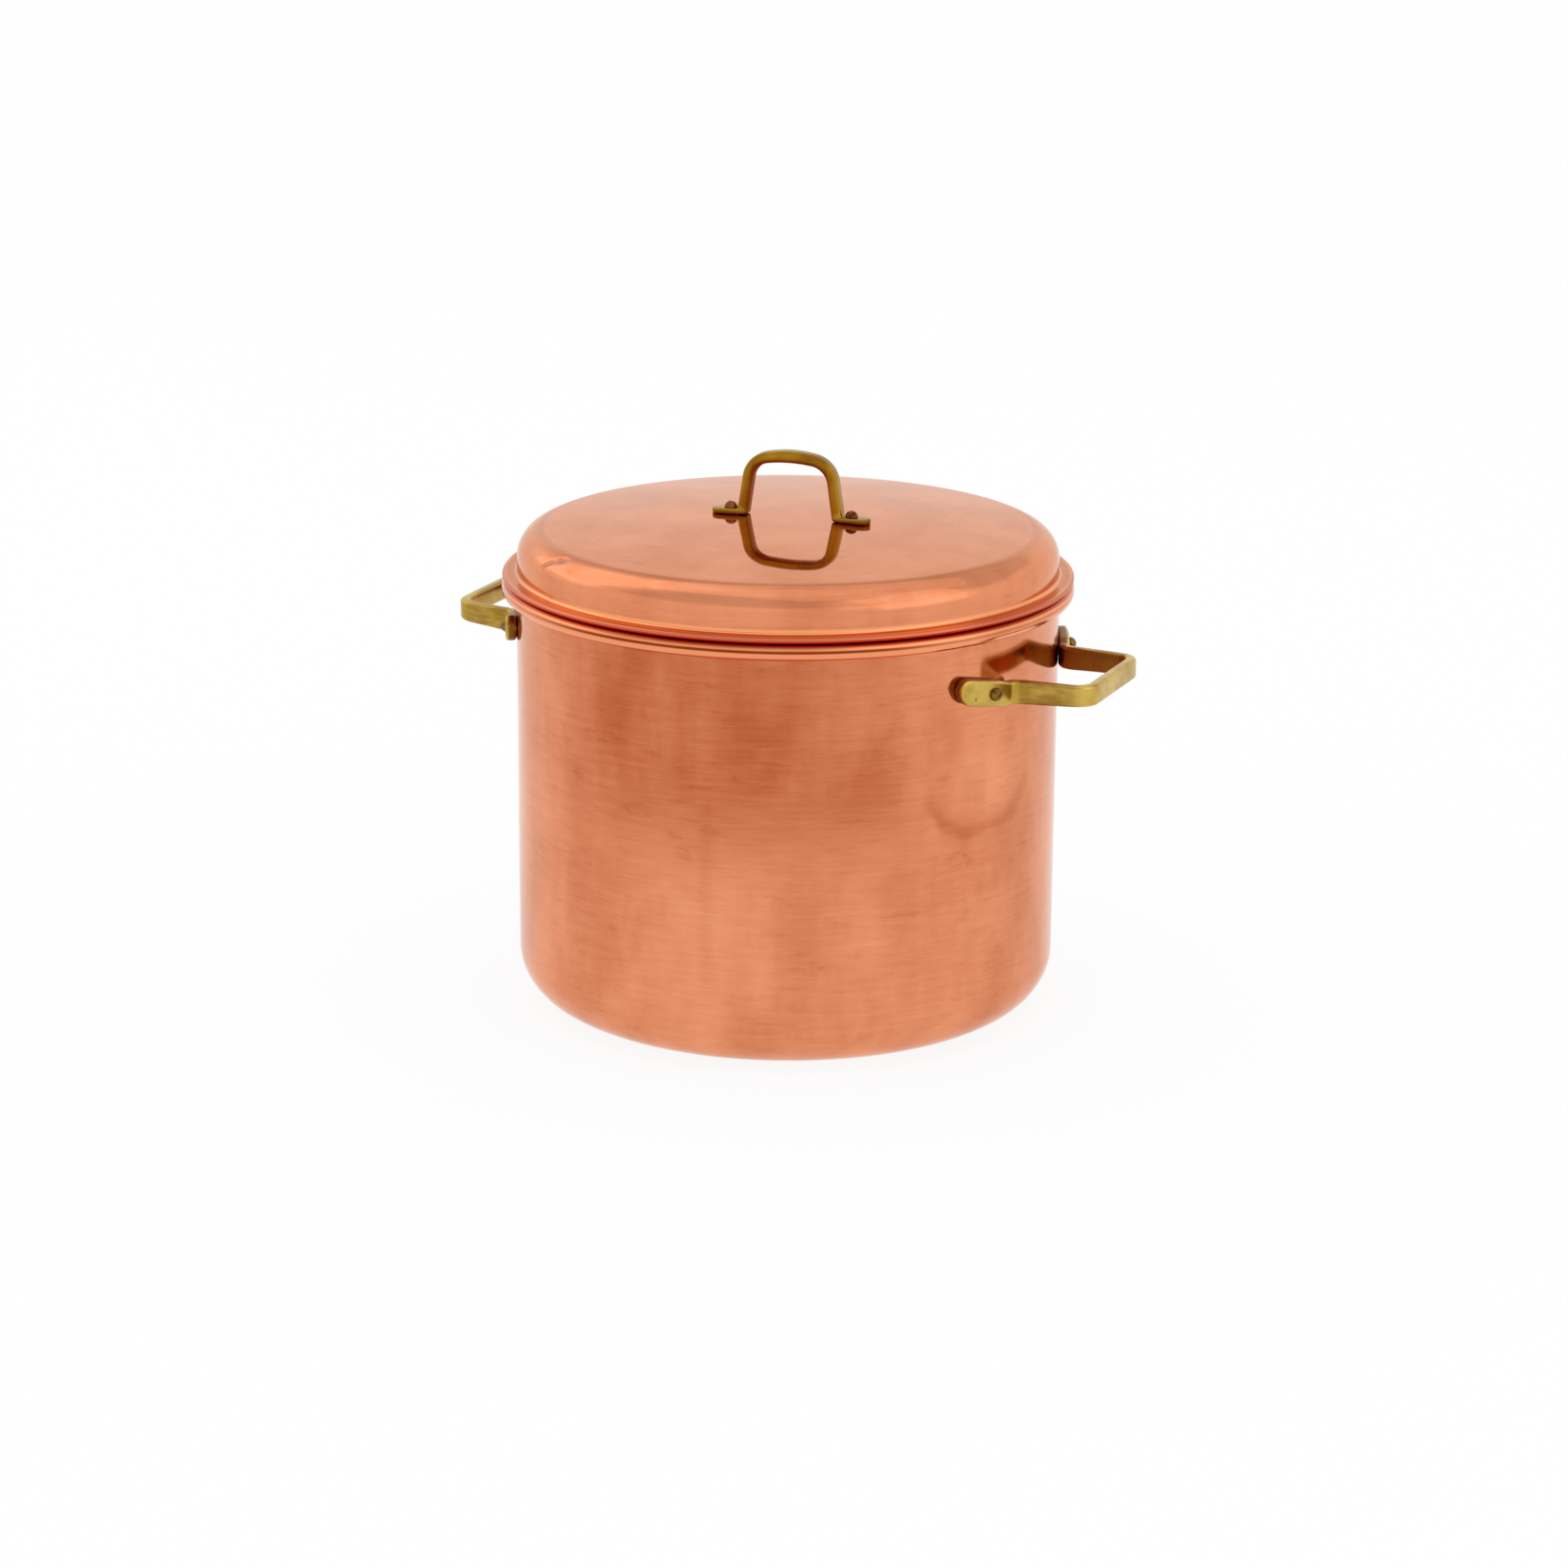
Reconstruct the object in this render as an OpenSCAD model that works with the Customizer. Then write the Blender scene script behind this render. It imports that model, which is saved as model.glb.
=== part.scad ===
// Deep copper stockpot with a flanged lid, two brass side handles and a brass lid handle.
// Sizes are in millimetres and angles in degrees. The origin is the centre of the base,
// +Z is up and +X points at the middle of the right-hand handle.

/* [Pot] */
// Outer radius of the wall
pot_r = 120; // [105:1:140]
// Height of the top of the rolled rim
pot_h = 191.3; // [170:0.1:230]
// Thickness of the pot's copper sheet
pot_t = 1.2; // [0.8:0.1:2]
// Outer radius of the curve between base and wall
pot_corner_r = 23; // [14:1:30]
// Radius of the wire that the rim is rolled round
wire_r = 2.6; // [1.8:0.1:3]

/* [Lid] */
// Height of the crown's top above the flange's underside
lid_h = 25.9; // [23:0.1:32]
// Thickness of the lid's copper sheet
lid_t = 1.2; // [1.1:0.1:1.4]
// Outer radius of the lid's short upright side
lid_side_r = 119.6; // [119.2:0.1:119.7]
// Outer radius of the flange that rests on the rim
lid_flange_r = 126.2; // [124.5:0.1:128]
// Radius of the curve between the side and the crown
lid_shoulder_r = 12; // [9:0.5:16]
// Radius of the shallow crown
lid_crown_r = 1340; // [900:10:3000]
// Inner radius of the bend between flange and side
lid_bend_r = 1.5; // [1:0.1:2]
// Width of the edge that is folded back under the flange
lid_hem_w = 4.4; // [3:0.1:4.6]
// Depth of the collar below the flange's underside
collar_drop = 8.3; // [5:0.1:14]
// Angle that the lid is turned by on the pot
lid_turn = 4.5; // [-30:0.5:30]

/* [Side handles] */
// Height of the middle of the right-hand handle
right_handle_z = 161; // [140:0.1:172]
// Height of the middle of the left-hand handle
left_handle_z = 166.8; // [140:0.1:172]
// Distance from the wall to the outer face of the right-hand grip
right_reach = 34.8; // [27:0.1:42]
// Distance from the wall to the outer face of the left-hand grip
left_reach = 30.4; // [27:0.1:42]
// Lift of the right-hand grip above the middle of its feet
right_grip_lift = -1.1; // [-4:0.1:4]
// Lift of the left-hand grip above the middle of its feet
left_grip_lift = 0.2; // [-4:0.1:4]
// Angle by which the right-hand handle rises towards the back
right_roll = 0; // [-3:0.1:3]
// Angle by which the left-hand handle rises towards the back
left_roll = 0.9; // [-3:0.1:3]
// Angle by which the front foot of each side handle rises towards its tip
front_foot_tilt = 11; // [0:0.5:15]
// Angle by which the rear foot of each side handle rises towards its tip
rear_foot_tilt = 3; // [0:0.5:15]
// Thickness of the bar, seen from above
bar_t = 5; // [4:0.1:7]
// Height of the bar along the grip
bar_h = 9.4; // [7:0.1:12]
// Height of the bar where a leg meets its foot
leg_h = 10.4; // [8:0.1:12.5]
// Radius of the bar's four long edges
bar_edge_r = 2; // [0.8:0.1:2.2]
// Middle radius of the bends at the ends of the grip
grip_bend_r = 7.5; // [5:0.5:10]
// Angle by which each leg splays on its way to the wall
leg_splay = 3; // [0:0.5:8]
// Middle radius of the bend from leg to foot
foot_bend_r = 6.5; // [4:0.5:8]
// Angle round the pot at which a foot starts
foot_start = 17; // [15:0.5:18]
// Angle round the pot at which a foot ends
foot_end = 30.5; // [28:0.5:34]
// Angle round the pot of a foot's rivet
foot_rivet = 21.5; // [20.5:0.5:23]
// Thickness of a foot
foot_t = 5; // [3.5:0.1:5.4]
// Height of a foot
foot_h = 11.8; // [10.4:0.1:13]
// How far the right-hand handle's rear foot sits below the middle of the handle
right_rear_drop = 1; // [0:0.1:1.4]
// Height of that foot's rivet above the middle of the handle
right_rear_rivet_lift = 1.1; // [0:0.1:1.2]

/* [Lid handle] */
// Height of the arch above the crown
arch_h = 29.9; // [26:0.1:40]
// Outer half width of the arch where it stands on the lid
arch_base = 24.6; // [20:0.1:24.8]
// Angle by which each leg leans in on its way up
arch_lean = 8.5; // [0:0.5:10]
// Middle radius of the arch's upper corners
arch_corner_r = 11; // [6:0.5:12]
// Middle radius of the slightly crowned top
arch_top_r = 60; // [40:5:200]
// Thickness of the arch's bar at the top
arch_t = 5.4; // [4:0.1:6]
// Thickness of the arch's bar at the legs
arch_leg_t = 4.8; // [3.5:0.1:5.5]
// Width of the arch's bar
arch_w = 7; // [5.6:0.1:9]
// Distance from the middle of the arch to the tip of a foot
arch_foot_end = 36.6; // [35:0.1:40]
// Distance from the middle of the arch to a rivet
arch_rivet = 28; // [27.8:0.1:30]
// Thickness of the arch's feet
arch_foot_t = 2.6; // [2:0.1:3.5]
// Width of the arch's feet
arch_foot_w = 8.6; // [8:0.1:10]
// How far the arch sits off the middle of the lid
arch_shift = 1.1; // [-2:0.1:2]

/* [Rivets] */
// Radius of a rivet's shank
shank_r = 2; // [1.5:0.1:2.2]
// Radius of a rivet's domed outer head
head_r = 2.9; // [2.5:0.1:3.5]
// Height of the domed outer head
head_h = 2.8; // [1.4:0.1:3]
// Radius of the flattened inner head
tail_r = 3.6; // [3:0.1:4]
// Height of the flattened inner head
tail_h = 1.1; // [0.8:0.1:1.6]

/* [Hidden] */

// Facets of a full turn, for the large revolved pieces and for the small ones
big_fn = 240;
small_fn = 48;
// Steps of the arcs in the outlines
corner_steps = 12;
curl_steps = 20;
crown_steps = 10;
bend_steps = 5;
edge_steps = 3;

copper = [0.86, 0.50, 0.36];
brass = [0.76, 0.62, 0.30];
steel = [0.45, 0.45, 0.46];
rivet_copper = [0.62, 0.38, 0.26];

// Play that lets a cutter run past the face that it cuts
past = 1;

// Rolled rim: the sheet goes out over the wire, round it and back to just short of the wall
pot_inner_r = pot_r - pot_t;
curl_r = wire_r + pot_t;
curl_c = [pot_r + wire_r, pot_h - curl_r];
seam_gap = 0.3;
curl_end = -acos((seam_gap - wire_r) / curl_r);
curl_half_step = (180 - curl_end) / (2 * curl_steps + 1);

// Lid: the flange's underside stays this far above the rim
seat_gap = 0.2;
flange_z = pot_h + seat_gap;
bend_c = [lid_side_r + lid_bend_r, flange_z + 2 * lid_t + lid_bend_r];
crown_c = [0, flange_z + lid_h - lid_crown_r];
crown_span = asin((lid_side_r - lid_shoulder_r) / (lid_crown_r - lid_shoulder_r));
shoulder_c = crown_c + (lid_crown_r - lid_shoulder_r) * [sin(crown_span), cos(crown_span)];
hem_r = lid_flange_r - lid_hem_w;
collar_r = lid_side_r - lid_t;
collar_t = 1.2;
collar_lead = [0.5, 1.5];

// A handle's bar is drawn in a plane of its own, symmetric about the plane's second axis. Its
// path starts at the middle of the grip, heads along the first axis, bends right into the leg
// and bends left into the foot. Headings are angles from the first axis. A station of the path
// is [first, second, heading, thickness in the plane, width across it, lift off the plane].
bend_rings = 6;
round_rings = [0, 15, 30, 45, 60, 72, 82];

// Side handle: the second axis points out from the pot's axis
bar_size = [bar_t, bar_h];
leg_size = [bar_t, leg_h];
foot_size = [foot_t, foot_h];
leg_heading = leg_splay - 90;
grip_bend = bend_reach(0, leg_heading, grip_bend_r);
foot_bend = bend_reach(leg_heading, -foot_start, foot_bend_r);
foot_point = (pot_r + bar_t / 2) * [sin(foot_start), cos(foot_start)];
foot_blend = 2.8;
foot_step = 2;
bed_play = 0.02;
foot_tip_a = foot_end - asin(foot_h / 2 / (pot_r + foot_t / 2));

// Lid handle: the second axis is square to the crown, counted from its face. The arc of the top
// spans what the corners and the leaning legs leave. Between leg and foot the bar turns round a
// point just off the inside of the corner, and the outside of the corner is nearly square.
arch_size = [arch_t, arch_w, 0];
arch_leg_size = [arch_leg_t, arch_w, 0];
arch_edge_r = 1.4;
arch_heading = arch_lean - 90;
arch_mid_h = arch_h - arch_t / 2;
arch_shift_a = asin(arch_shift / lid_crown_r);
arch_rivet_a = asin(arch_rivet / lid_crown_r);
arch_up = [sin(arch_rivet_a), cos(arch_rivet_a)];
arch_along = [cos(arch_rivet_a), -sin(arch_rivet_a)];
arch_bed = lid_crown_r * (arch_up - [0, 1]) + (arch_foot_t / 2 + bed_play) * arch_up;
crease_r = 0.4;
crease_rings = 10;
squareness = 8;
crease_level = arch_bed + (arch_foot_t / 2 + crease_r) * arch_up;
crease_run = (arch_base + crease_r / cos(arch_lean) - crease_level[0]
    - crease_level[1] * tan(arch_lean)) / (arch_along[0] + arch_along[1] * tan(arch_lean));
crease_c = crease_level + crease_run * arch_along;
arch_leg_end = arch_corner_station(0);
arch_rest = arch_leg_end[0] - arch_corner_r * cos(arch_lean)
    - (arch_mid_h - arch_leg_end[1] - arch_top_r + arch_corner_r * sin(arch_lean)) * tan(arch_lean);
arch_top_turn = acos(cos(arch_lean) * arch_rest / (arch_top_r - arch_corner_r)) + arch_heading;
arch_top_end = [0, arch_mid_h] + bend_reach(0, arch_top_turn, arch_top_r);
arch_tip_s = arch_foot_end - arch_rivet - arch_foot_w / 2;

// Rivets: a rolled handle's front rivet sits lower than its rear one. The inner head touches the
// curved sheet with its edge.
rivet_reach = (pot_r + foot_t / 2) * sin(foot_rivet);
right_front_z = right_handle_z - rivet_reach * tan(right_roll);
right_rear_z = right_handle_z + rivet_reach * tan(right_roll) + right_rear_rivet_lift;
left_front_z = left_handle_z - rivet_reach * tan(left_roll);
left_rear_z = left_handle_z + rivet_reach * tan(left_roll);
wall_tail_seat = sqrt(pow(pot_inner_r, 2) - pow(tail_r, 2));
wall_grip = pot_r + bed_play + foot_t - wall_tail_seat;
lid_tail_seat = sqrt(pow(lid_crown_r - lid_t, 2) - pow(tail_r, 2)) - bed_play;
lid_grip = lid_crown_r + bed_play + arch_foot_t - lid_tail_seat;
head_land = 0.4;

// Points of an arc round c
function arc(c, r, a0, a1, n) =
    [for (i = [0:n]) let (a = a0 + (a1 - a0) * i / n) c + r * [cos(a), sin(a)]];

// A low dome's outline, from the edge of its base to its top
function dome(r, h, z, n) =
    let (ball = (r * r + h * h) / (2 * h))
    arc([0, z + h - ball], ball, asin((ball - h) / ball), 90, n);

// A rectangle with round corners, centred
function round_box(w, h, r) =
    [for (q = [0:3])
        let (sx = q == 0 || q == 3 ? 1 : -1, sy = q < 2 ? 1 : -1)
        each arc([sx * (w / 2 - r), sy * (h / 2 - r)], r, 90 * q, 90 * q + 90, edge_steps)];

// How far a bend from heading h0 to heading h1 leads
function bend_reach(h0, h1, r) =
    (h1 > h0 ? r : -r) * [sin(h1) - sin(h0), cos(h0) - cos(h1)];

// Positions and headings along a bend, after its first
function bend_stations(p, h0, h1, r) =
    [for (i = [1:bend_rings])
        let (h = h0 + (h1 - h0) * i / bend_rings)
        concat(p + bend_reach(h0, h, r), h)];

// Adds sizes to positions and headings, changing smoothly from one size to another
function sized(stations, from, to) =
    [for (i = [0:len(stations) - 1])
        let (f = (i + 1) / len(stations))
        concat(stations[i], from + (to - from) * f * f * (3 - 2 * f))];

// Station of a side handle's foot at an angle round the pot, with the inner face on the wall
function foot_station(a, size, tilt, drop) =
    let (
        r = pot_r + bed_play + size[0] / 2,
        rise = pot_r * PI / 180 * (a - foot_rivet) * tan(tilt)
    )
    concat(r * [sin(a), cos(a)], -a, size, rise - drop);

// Stations of a side handle's grip and leg, without their lift. Their runs follow from where the
// foot starts.
function loop_half(reach) =
    let (
        grip_y = pot_r + reach - bar_t / 2,
        leg_run = (grip_y + grip_bend[1] + foot_bend[1] - foot_point[1]) / cos(leg_splay),
        leg_end = foot_point - foot_bend,
        grip_end = leg_end - leg_run * [sin(leg_splay), -cos(leg_splay)] - grip_bend
    )
    concat(
        [concat([0, grip_y, 0], bar_size), concat(grip_end, 0, bar_size)],
        [for (s = bend_stations(grip_end, 0, leg_heading, grip_bend_r)) concat(s, bar_size)],
        [concat(leg_end, leg_heading, leg_size)],
        [for (s = bend_stations(leg_end, leg_heading, -foot_start, foot_bend_r)) concat(s, leg_size)]
    );

// Station of the arch's foot at a distance from its rivet, with the underside on the crown
function arch_foot_station(s, size) =
    concat(arch_bed + s * arch_along, -arch_rivet_a, size);

// Half of a side handle. The leg climbs evenly from where the foot starts to the grip's lift.
function side_handle_half(reach, grip_lift, tilt, drop) =
    let (
        loop = loop_half(reach),
        start_lift = foot_station(foot_start, leg_size, tilt, drop)[5],
        climb = (grip_lift - start_lift) / (loop[0][1] - foot_point[1])
    )
    concat(
        [for (s = loop) concat(s, start_lift + climb * (s[1] - foot_point[1]))],
        [for (f = [0.2:0.2:1])
            foot_station(
                foot_start + f * foot_blend, leg_size + (foot_size - leg_size) * f, tilt, drop
            )],
        [for (a = [foot_start + foot_blend + foot_step:foot_step:foot_tip_a - foot_step / 4])
            foot_station(a, foot_size, tilt, drop)],
        [for (q = round_rings)
            foot_station(
                foot_tip_a + asin(foot_h / 2 * sin(q) / (pot_r + foot_t / 2)),
                [foot_t, foot_h * cos(q)],
                tilt,
                drop
            )]
    );

// Station of the corner between the arch's leg and foot, at a share of its turn
function arch_corner_station(f) =
    let (
        h = arch_heading + (-arch_rivet_a - arch_heading) * f,
        leg_part = cos(h - arch_heading) / (crease_r + arch_leg_t),
        foot_part = cos(h + arch_rivet_a) / (crease_r + arch_foot_t),
        far = pow(pow(leg_part, squareness) + pow(foot_part, squareness), -1 / squareness)
    )
    concat(
        crease_c + (far + crease_r) / 2 * [sin(h), -cos(h)],
        h,
        [far - crease_r, arch_w + (arch_foot_w - arch_w) * f, 0]
    );

lid_handle_half = concat(
    [concat([0, arch_mid_h, 0], arch_size)],
    sized(
        concat(
            bend_stations([0, arch_mid_h], 0, arch_top_turn, arch_top_r),
            bend_stations(arch_top_end, arch_top_turn, arch_heading, arch_corner_r)
        ),
        arch_size, arch_leg_size
    ),
    [for (i = [0:crease_rings]) arch_corner_station(i / crease_rings)],
    [for (q = round_rings)
        arch_foot_station(
            arch_tip_s + arch_foot_w / 2 * sin(q),
            [arch_foot_t, arch_foot_w * cos(q), 0]
        )]
);

// Two halves of a bar in one row, from foot to foot
function whole_bar(mirrored, half) =
    concat(
        [for (i = [len(mirrored) - 1:-1:1])
            let (s = mirrored[i]) [-s[0], s[1], -s[2], s[3], s[4], s[5]]],
        half
    );

// A bar that leans over sideways: it rises along the first axis
function rolled(bar, angle) =
    [for (s = bar) [s[0], s[1], s[2], s[3], s[4], s[5] + s[0] * tan(angle)]];

// Outline of the bar at a station
function bar_ring(s, edge_r) =
    [for (p = round_box(s[3], s[4], min(edge_r, 0.45 * s[3], 0.45 * s[4])))
        [s[0] + p[0] * sin(s[2]), s[1] - p[0] * cos(s[2]), s[5] + p[1]]];

// The outline without points that repeat the one before
function tidy(p) = [for (i = [0:len(p) - 1]) if (i == 0 || norm(p[i] - p[i - 1]) > 0.0001) p[i]];

// Outer face of the lid's crown and shoulder, from the axis to the foot of the side
lid_top_outline = concat(
    arc(crown_c, lid_crown_r, 90, 90 - crown_span, crown_steps),
    arc(shoulder_c, lid_shoulder_r, 90 - crown_span, 0, corner_steps)
);
// Inner face of the same, from the side to the axis
lid_under_outline = concat(
    arc(shoulder_c, lid_shoulder_r - lid_t, 0, 90 - crown_span, corner_steps),
    arc(crown_c, lid_crown_r - lid_t, 90 - crown_span, 90, crown_steps)
);

module revolve(outline) {
    rotate_extrude($fn = big_fn)
        polygon(tidy(outline));
}

// A bar with closed ends through the outlines at its stations
module lofted_bar(bar, edge_r) {
    rings = [for (s = bar) bar_ring(s, edge_r)];
    n = len(rings[0]);
    polyhedron(
        points = [for (ring = rings) each ring],
        faces = concat(
            [[for (j = [0:n - 1]) j]],
            [for (i = [0:len(rings) - 2], j = [0:n - 1])
                let (a = i * n + j, b = i * n + (j + 1) % n)
                each [[a, a + n, b], [b, a + n, b + n]]],
            [[for (j = [n - 1:-1:0]) (len(rings) - 1) * n + j]]
        ),
        convexity = 4
    );
}

// Places something, drawn along +Z, on a radius of the wall
module on_wall(angle, r, z) {
    rotate([0, 0, angle])
        translate([r, 0, z])
            rotate([0, 90, 0])
                children();
}

// Places something, drawn along +Z, square to the lid's crown, at an angle from the arch's middle
module on_crown(angle, r) {
    rotate([0, 0, lid_turn])
        translate([0, 0, crown_c[1]])
            rotate([0, angle + arch_shift_a, 0])
                translate([0, 0, r])
                    children();
}

// Bore for a rivet at an angle round the pot
module wall_bore(angle, z) {
    on_wall(angle, pot_inner_r - past, z)
        cylinder(r = shank_r, h = pot_t + foot_t + 2 * past, $fn = small_fn);
}

module right_bores() {
    wall_bore(-foot_rivet, right_front_z);
    wall_bore(foot_rivet, right_rear_z);
}

module left_bores() {
    wall_bore(180 + foot_rivet, left_front_z);
    wall_bore(180 - foot_rivet, left_rear_z);
}

module crown_bores() {
    for (side = [-1, 1])
        on_crown(side * arch_rivet_a, lid_crown_r - lid_t - past)
            cylinder(r = shank_r, h = lid_t + arch_foot_t + 2 * past, $fn = small_fn);
}

// A low domed head that stands on z = 0
module button(r, h) {
    rotate_extrude($fn = small_fn)
        polygon(concat([[0, 0], [r, 0]], dome(r, h - head_land, head_land, bend_steps)));
}

// A rivet whose shank runs from z = 0 to its grip, between the inner and the outer head
module rivet(grip) {
    color(rivet_copper) {
        cylinder(r = shank_r, h = grip, $fn = small_fn);
        translate([0, 0, grip])
            button(head_r, head_h);
        mirror([0, 0, 1])
            button(tail_r, tail_h);
    }
}

module pot_body() {
    color(copper)
        difference() {
            revolve(concat(
                [[0, 0]],
                arc([pot_r - pot_corner_r, pot_corner_r], pot_corner_r, -90, 0, corner_steps),
                arc(curl_c, wire_r / cos(curl_half_step), 180 - curl_half_step, curl_end, curl_steps),
                arc(curl_c, curl_r, curl_end, 180, curl_steps),
                arc([pot_r - pot_corner_r, pot_corner_r], pot_corner_r - pot_t, 0, -90, corner_steps),
                [[0, pot_t]]
            ));
            right_bores();
            left_bores();
        }
}

module rim_wire() {
    color(steel)
        rotate_extrude($fn = big_fn)
            translate(curl_c)
                circle(r = wire_r, $fn = small_fn);
}

// A side handle's bar at its place, before it is bored. The first axis of its plane runs towards
// the front on the right-hand side of the pot and towards the back on the left-hand side.
module right_bar() {
    front = side_handle_half(right_reach, right_grip_lift, front_foot_tilt, 0);
    rear = side_handle_half(right_reach, right_grip_lift, rear_foot_tilt, right_rear_drop);
    translate([0, 0, right_handle_z])
        rotate([0, 0, -90])
            lofted_bar(rolled(whole_bar(rear, front), -right_roll), bar_edge_r);
}

module left_bar() {
    front = side_handle_half(left_reach, left_grip_lift, front_foot_tilt, 0);
    rear = side_handle_half(left_reach, left_grip_lift, rear_foot_tilt, 0);
    translate([0, 0, left_handle_z])
        rotate([0, 0, 90])
            lofted_bar(rolled(whole_bar(front, rear), left_roll), bar_edge_r);
}

module right_handle() {
    color(brass)
        difference() {
            right_bar();
            right_bores();
        }
}

module left_handle() {
    color(brass)
        difference() {
            left_bar();
            left_bores();
        }
}

module wall_rivet(angle, z) {
    on_wall(angle, wall_tail_seat, z)
        rivet(wall_grip);
}

module right_handle_front_rivet() {
    wall_rivet(-foot_rivet, right_front_z);
}

module right_handle_rear_rivet() {
    wall_rivet(foot_rivet, right_rear_z);
}

module left_handle_front_rivet() {
    wall_rivet(180 + foot_rivet, left_front_z);
}

module left_handle_rear_rivet() {
    wall_rivet(180 - foot_rivet, left_rear_z);
}

// Crown, shoulder, side and flange from one sheet, with the edge folded back under the flange
module lid() {
    color(copper)
        difference() {
            revolve(concat(
                lid_top_outline,
                arc(bend_c, lid_bend_r, 180, 270, bend_steps),
                arc([lid_flange_r - lid_t, flange_z + lid_t], lid_t, 90, -90, bend_steps),
                [[hem_r, flange_z], [hem_r, flange_z + lid_t]],
                arc(bend_c, lid_bend_r + lid_t, 270, 180, bend_steps),
                lid_under_outline
            ));
            crown_bores();
        }
}

// Ring inside the lid's side that drops into the pot's mouth and centres the lid
module lid_collar() {
    color(copper)
        revolve([
            [collar_r - collar_t, flange_z - collar_drop],
            [collar_r - collar_lead[0], flange_z - collar_drop],
            [collar_r, flange_z - collar_drop + collar_lead[1]],
            [collar_r, shoulder_c[1]],
            [collar_r - collar_t, shoulder_c[1]]
        ]);
}

module lid_handle() {
    color(brass)
        difference() {
            on_crown(0, lid_crown_r)
                rotate([90, 0, 0])
                    lofted_bar(whole_bar(lid_handle_half, lid_handle_half), arch_edge_r);
            crown_bores();
        }
}

module crown_rivet(side) {
    on_crown(side * arch_rivet_a, lid_tail_seat)
        rivet(lid_grip);
}

module lid_handle_left_rivet() {
    crown_rivet(-1);
}

module lid_handle_right_rivet() {
    crown_rivet(1);
}

pot_body();
rim_wire();
right_handle();
left_handle();
right_handle_front_rivet();
right_handle_rear_rivet();
left_handle_front_rivet();
left_handle_rear_rivet();
lid();
lid_collar();
lid_handle();
lid_handle_left_rivet();
lid_handle_right_rivet();
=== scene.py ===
"""Looks of a deep copper stockpot with a flanged lid and riveted brass handles.

Lengths are in metres and angles in degrees, in the frame of the packed model: the origin is the
centre of the base, +Z is up, +X points at the right-hand handle and -Y is the front.
"""

import logging
import math
from collections.abc import Callable
from dataclasses import dataclass, field, replace
from enum import Enum
from functools import cache

import bmesh
import bpy
from mathutils import Matrix, Vector


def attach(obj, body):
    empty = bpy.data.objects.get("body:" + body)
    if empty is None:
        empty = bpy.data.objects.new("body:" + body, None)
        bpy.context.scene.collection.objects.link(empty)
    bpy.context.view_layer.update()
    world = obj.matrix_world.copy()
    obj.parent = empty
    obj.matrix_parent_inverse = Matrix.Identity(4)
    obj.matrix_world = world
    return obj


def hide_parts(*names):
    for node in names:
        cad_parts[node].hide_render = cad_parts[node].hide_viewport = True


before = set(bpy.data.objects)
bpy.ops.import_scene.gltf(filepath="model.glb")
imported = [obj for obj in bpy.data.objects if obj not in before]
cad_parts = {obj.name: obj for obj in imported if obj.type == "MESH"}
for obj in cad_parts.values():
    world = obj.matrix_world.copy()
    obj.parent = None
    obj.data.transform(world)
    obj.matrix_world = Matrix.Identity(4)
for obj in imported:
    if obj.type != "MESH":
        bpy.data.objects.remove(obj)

LOG = logging.getLogger("stockpot")
MM = 0.001
POLE = 1e-6  # edges shorter than this are nothing
AXIS = 1e-8  # keeps the root of a squared radius above 0
NOISE_TOP = 0.8  # what the noise of a shape hardly ever passes
WAVE_SQUASH = 0.6  # how much slower a sheet's waves change with the height
CALM, WAVY = 0.02, 0.1  # radii where a sheet's waves start and are full
HOLLOWS = 110.0  # hollows per metre in the faces of a bar
EDGE_SHARE = 0.9  # largest share of a bar's half thickness in its round edge
STRETCH_STEPS = 8  # stations along a straight or blended stretch of a foot
TIP_ANGLES = (8, 16, 24, 32, 40, 48, 56, 64, 71, 77, 82, 86, 89)  # stations round a foot's tip
FLOAT, VECTOR = "FLOAT", "FLOAT_VECTOR"
Point = tuple[float, float]
Place = tuple[float, float, float]
Colour = tuple[float, float, float]
Limits = tuple[float, float, float, float]


# Node trees


def maths(operation: str, words: str, swapped: bool = False) -> Callable[..., "Value"]:
    """Makes a method of Value that adds one Math node.

    Args:
        operation: The node's operation.
        words: The method's docstring.
        swapped: Whether the value is the second operand.

    Returns:
        The method.
    """

    def method(value: "Value", *others: "Number") -> "Value":
        """One Math node."""
        operands = (*others, value) if swapped else (value, *others)
        return value.nodes.add("ShaderNodeMath", dict(enumerate(operands)), operation=operation)

    method.__doc__ = words
    return method


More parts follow.
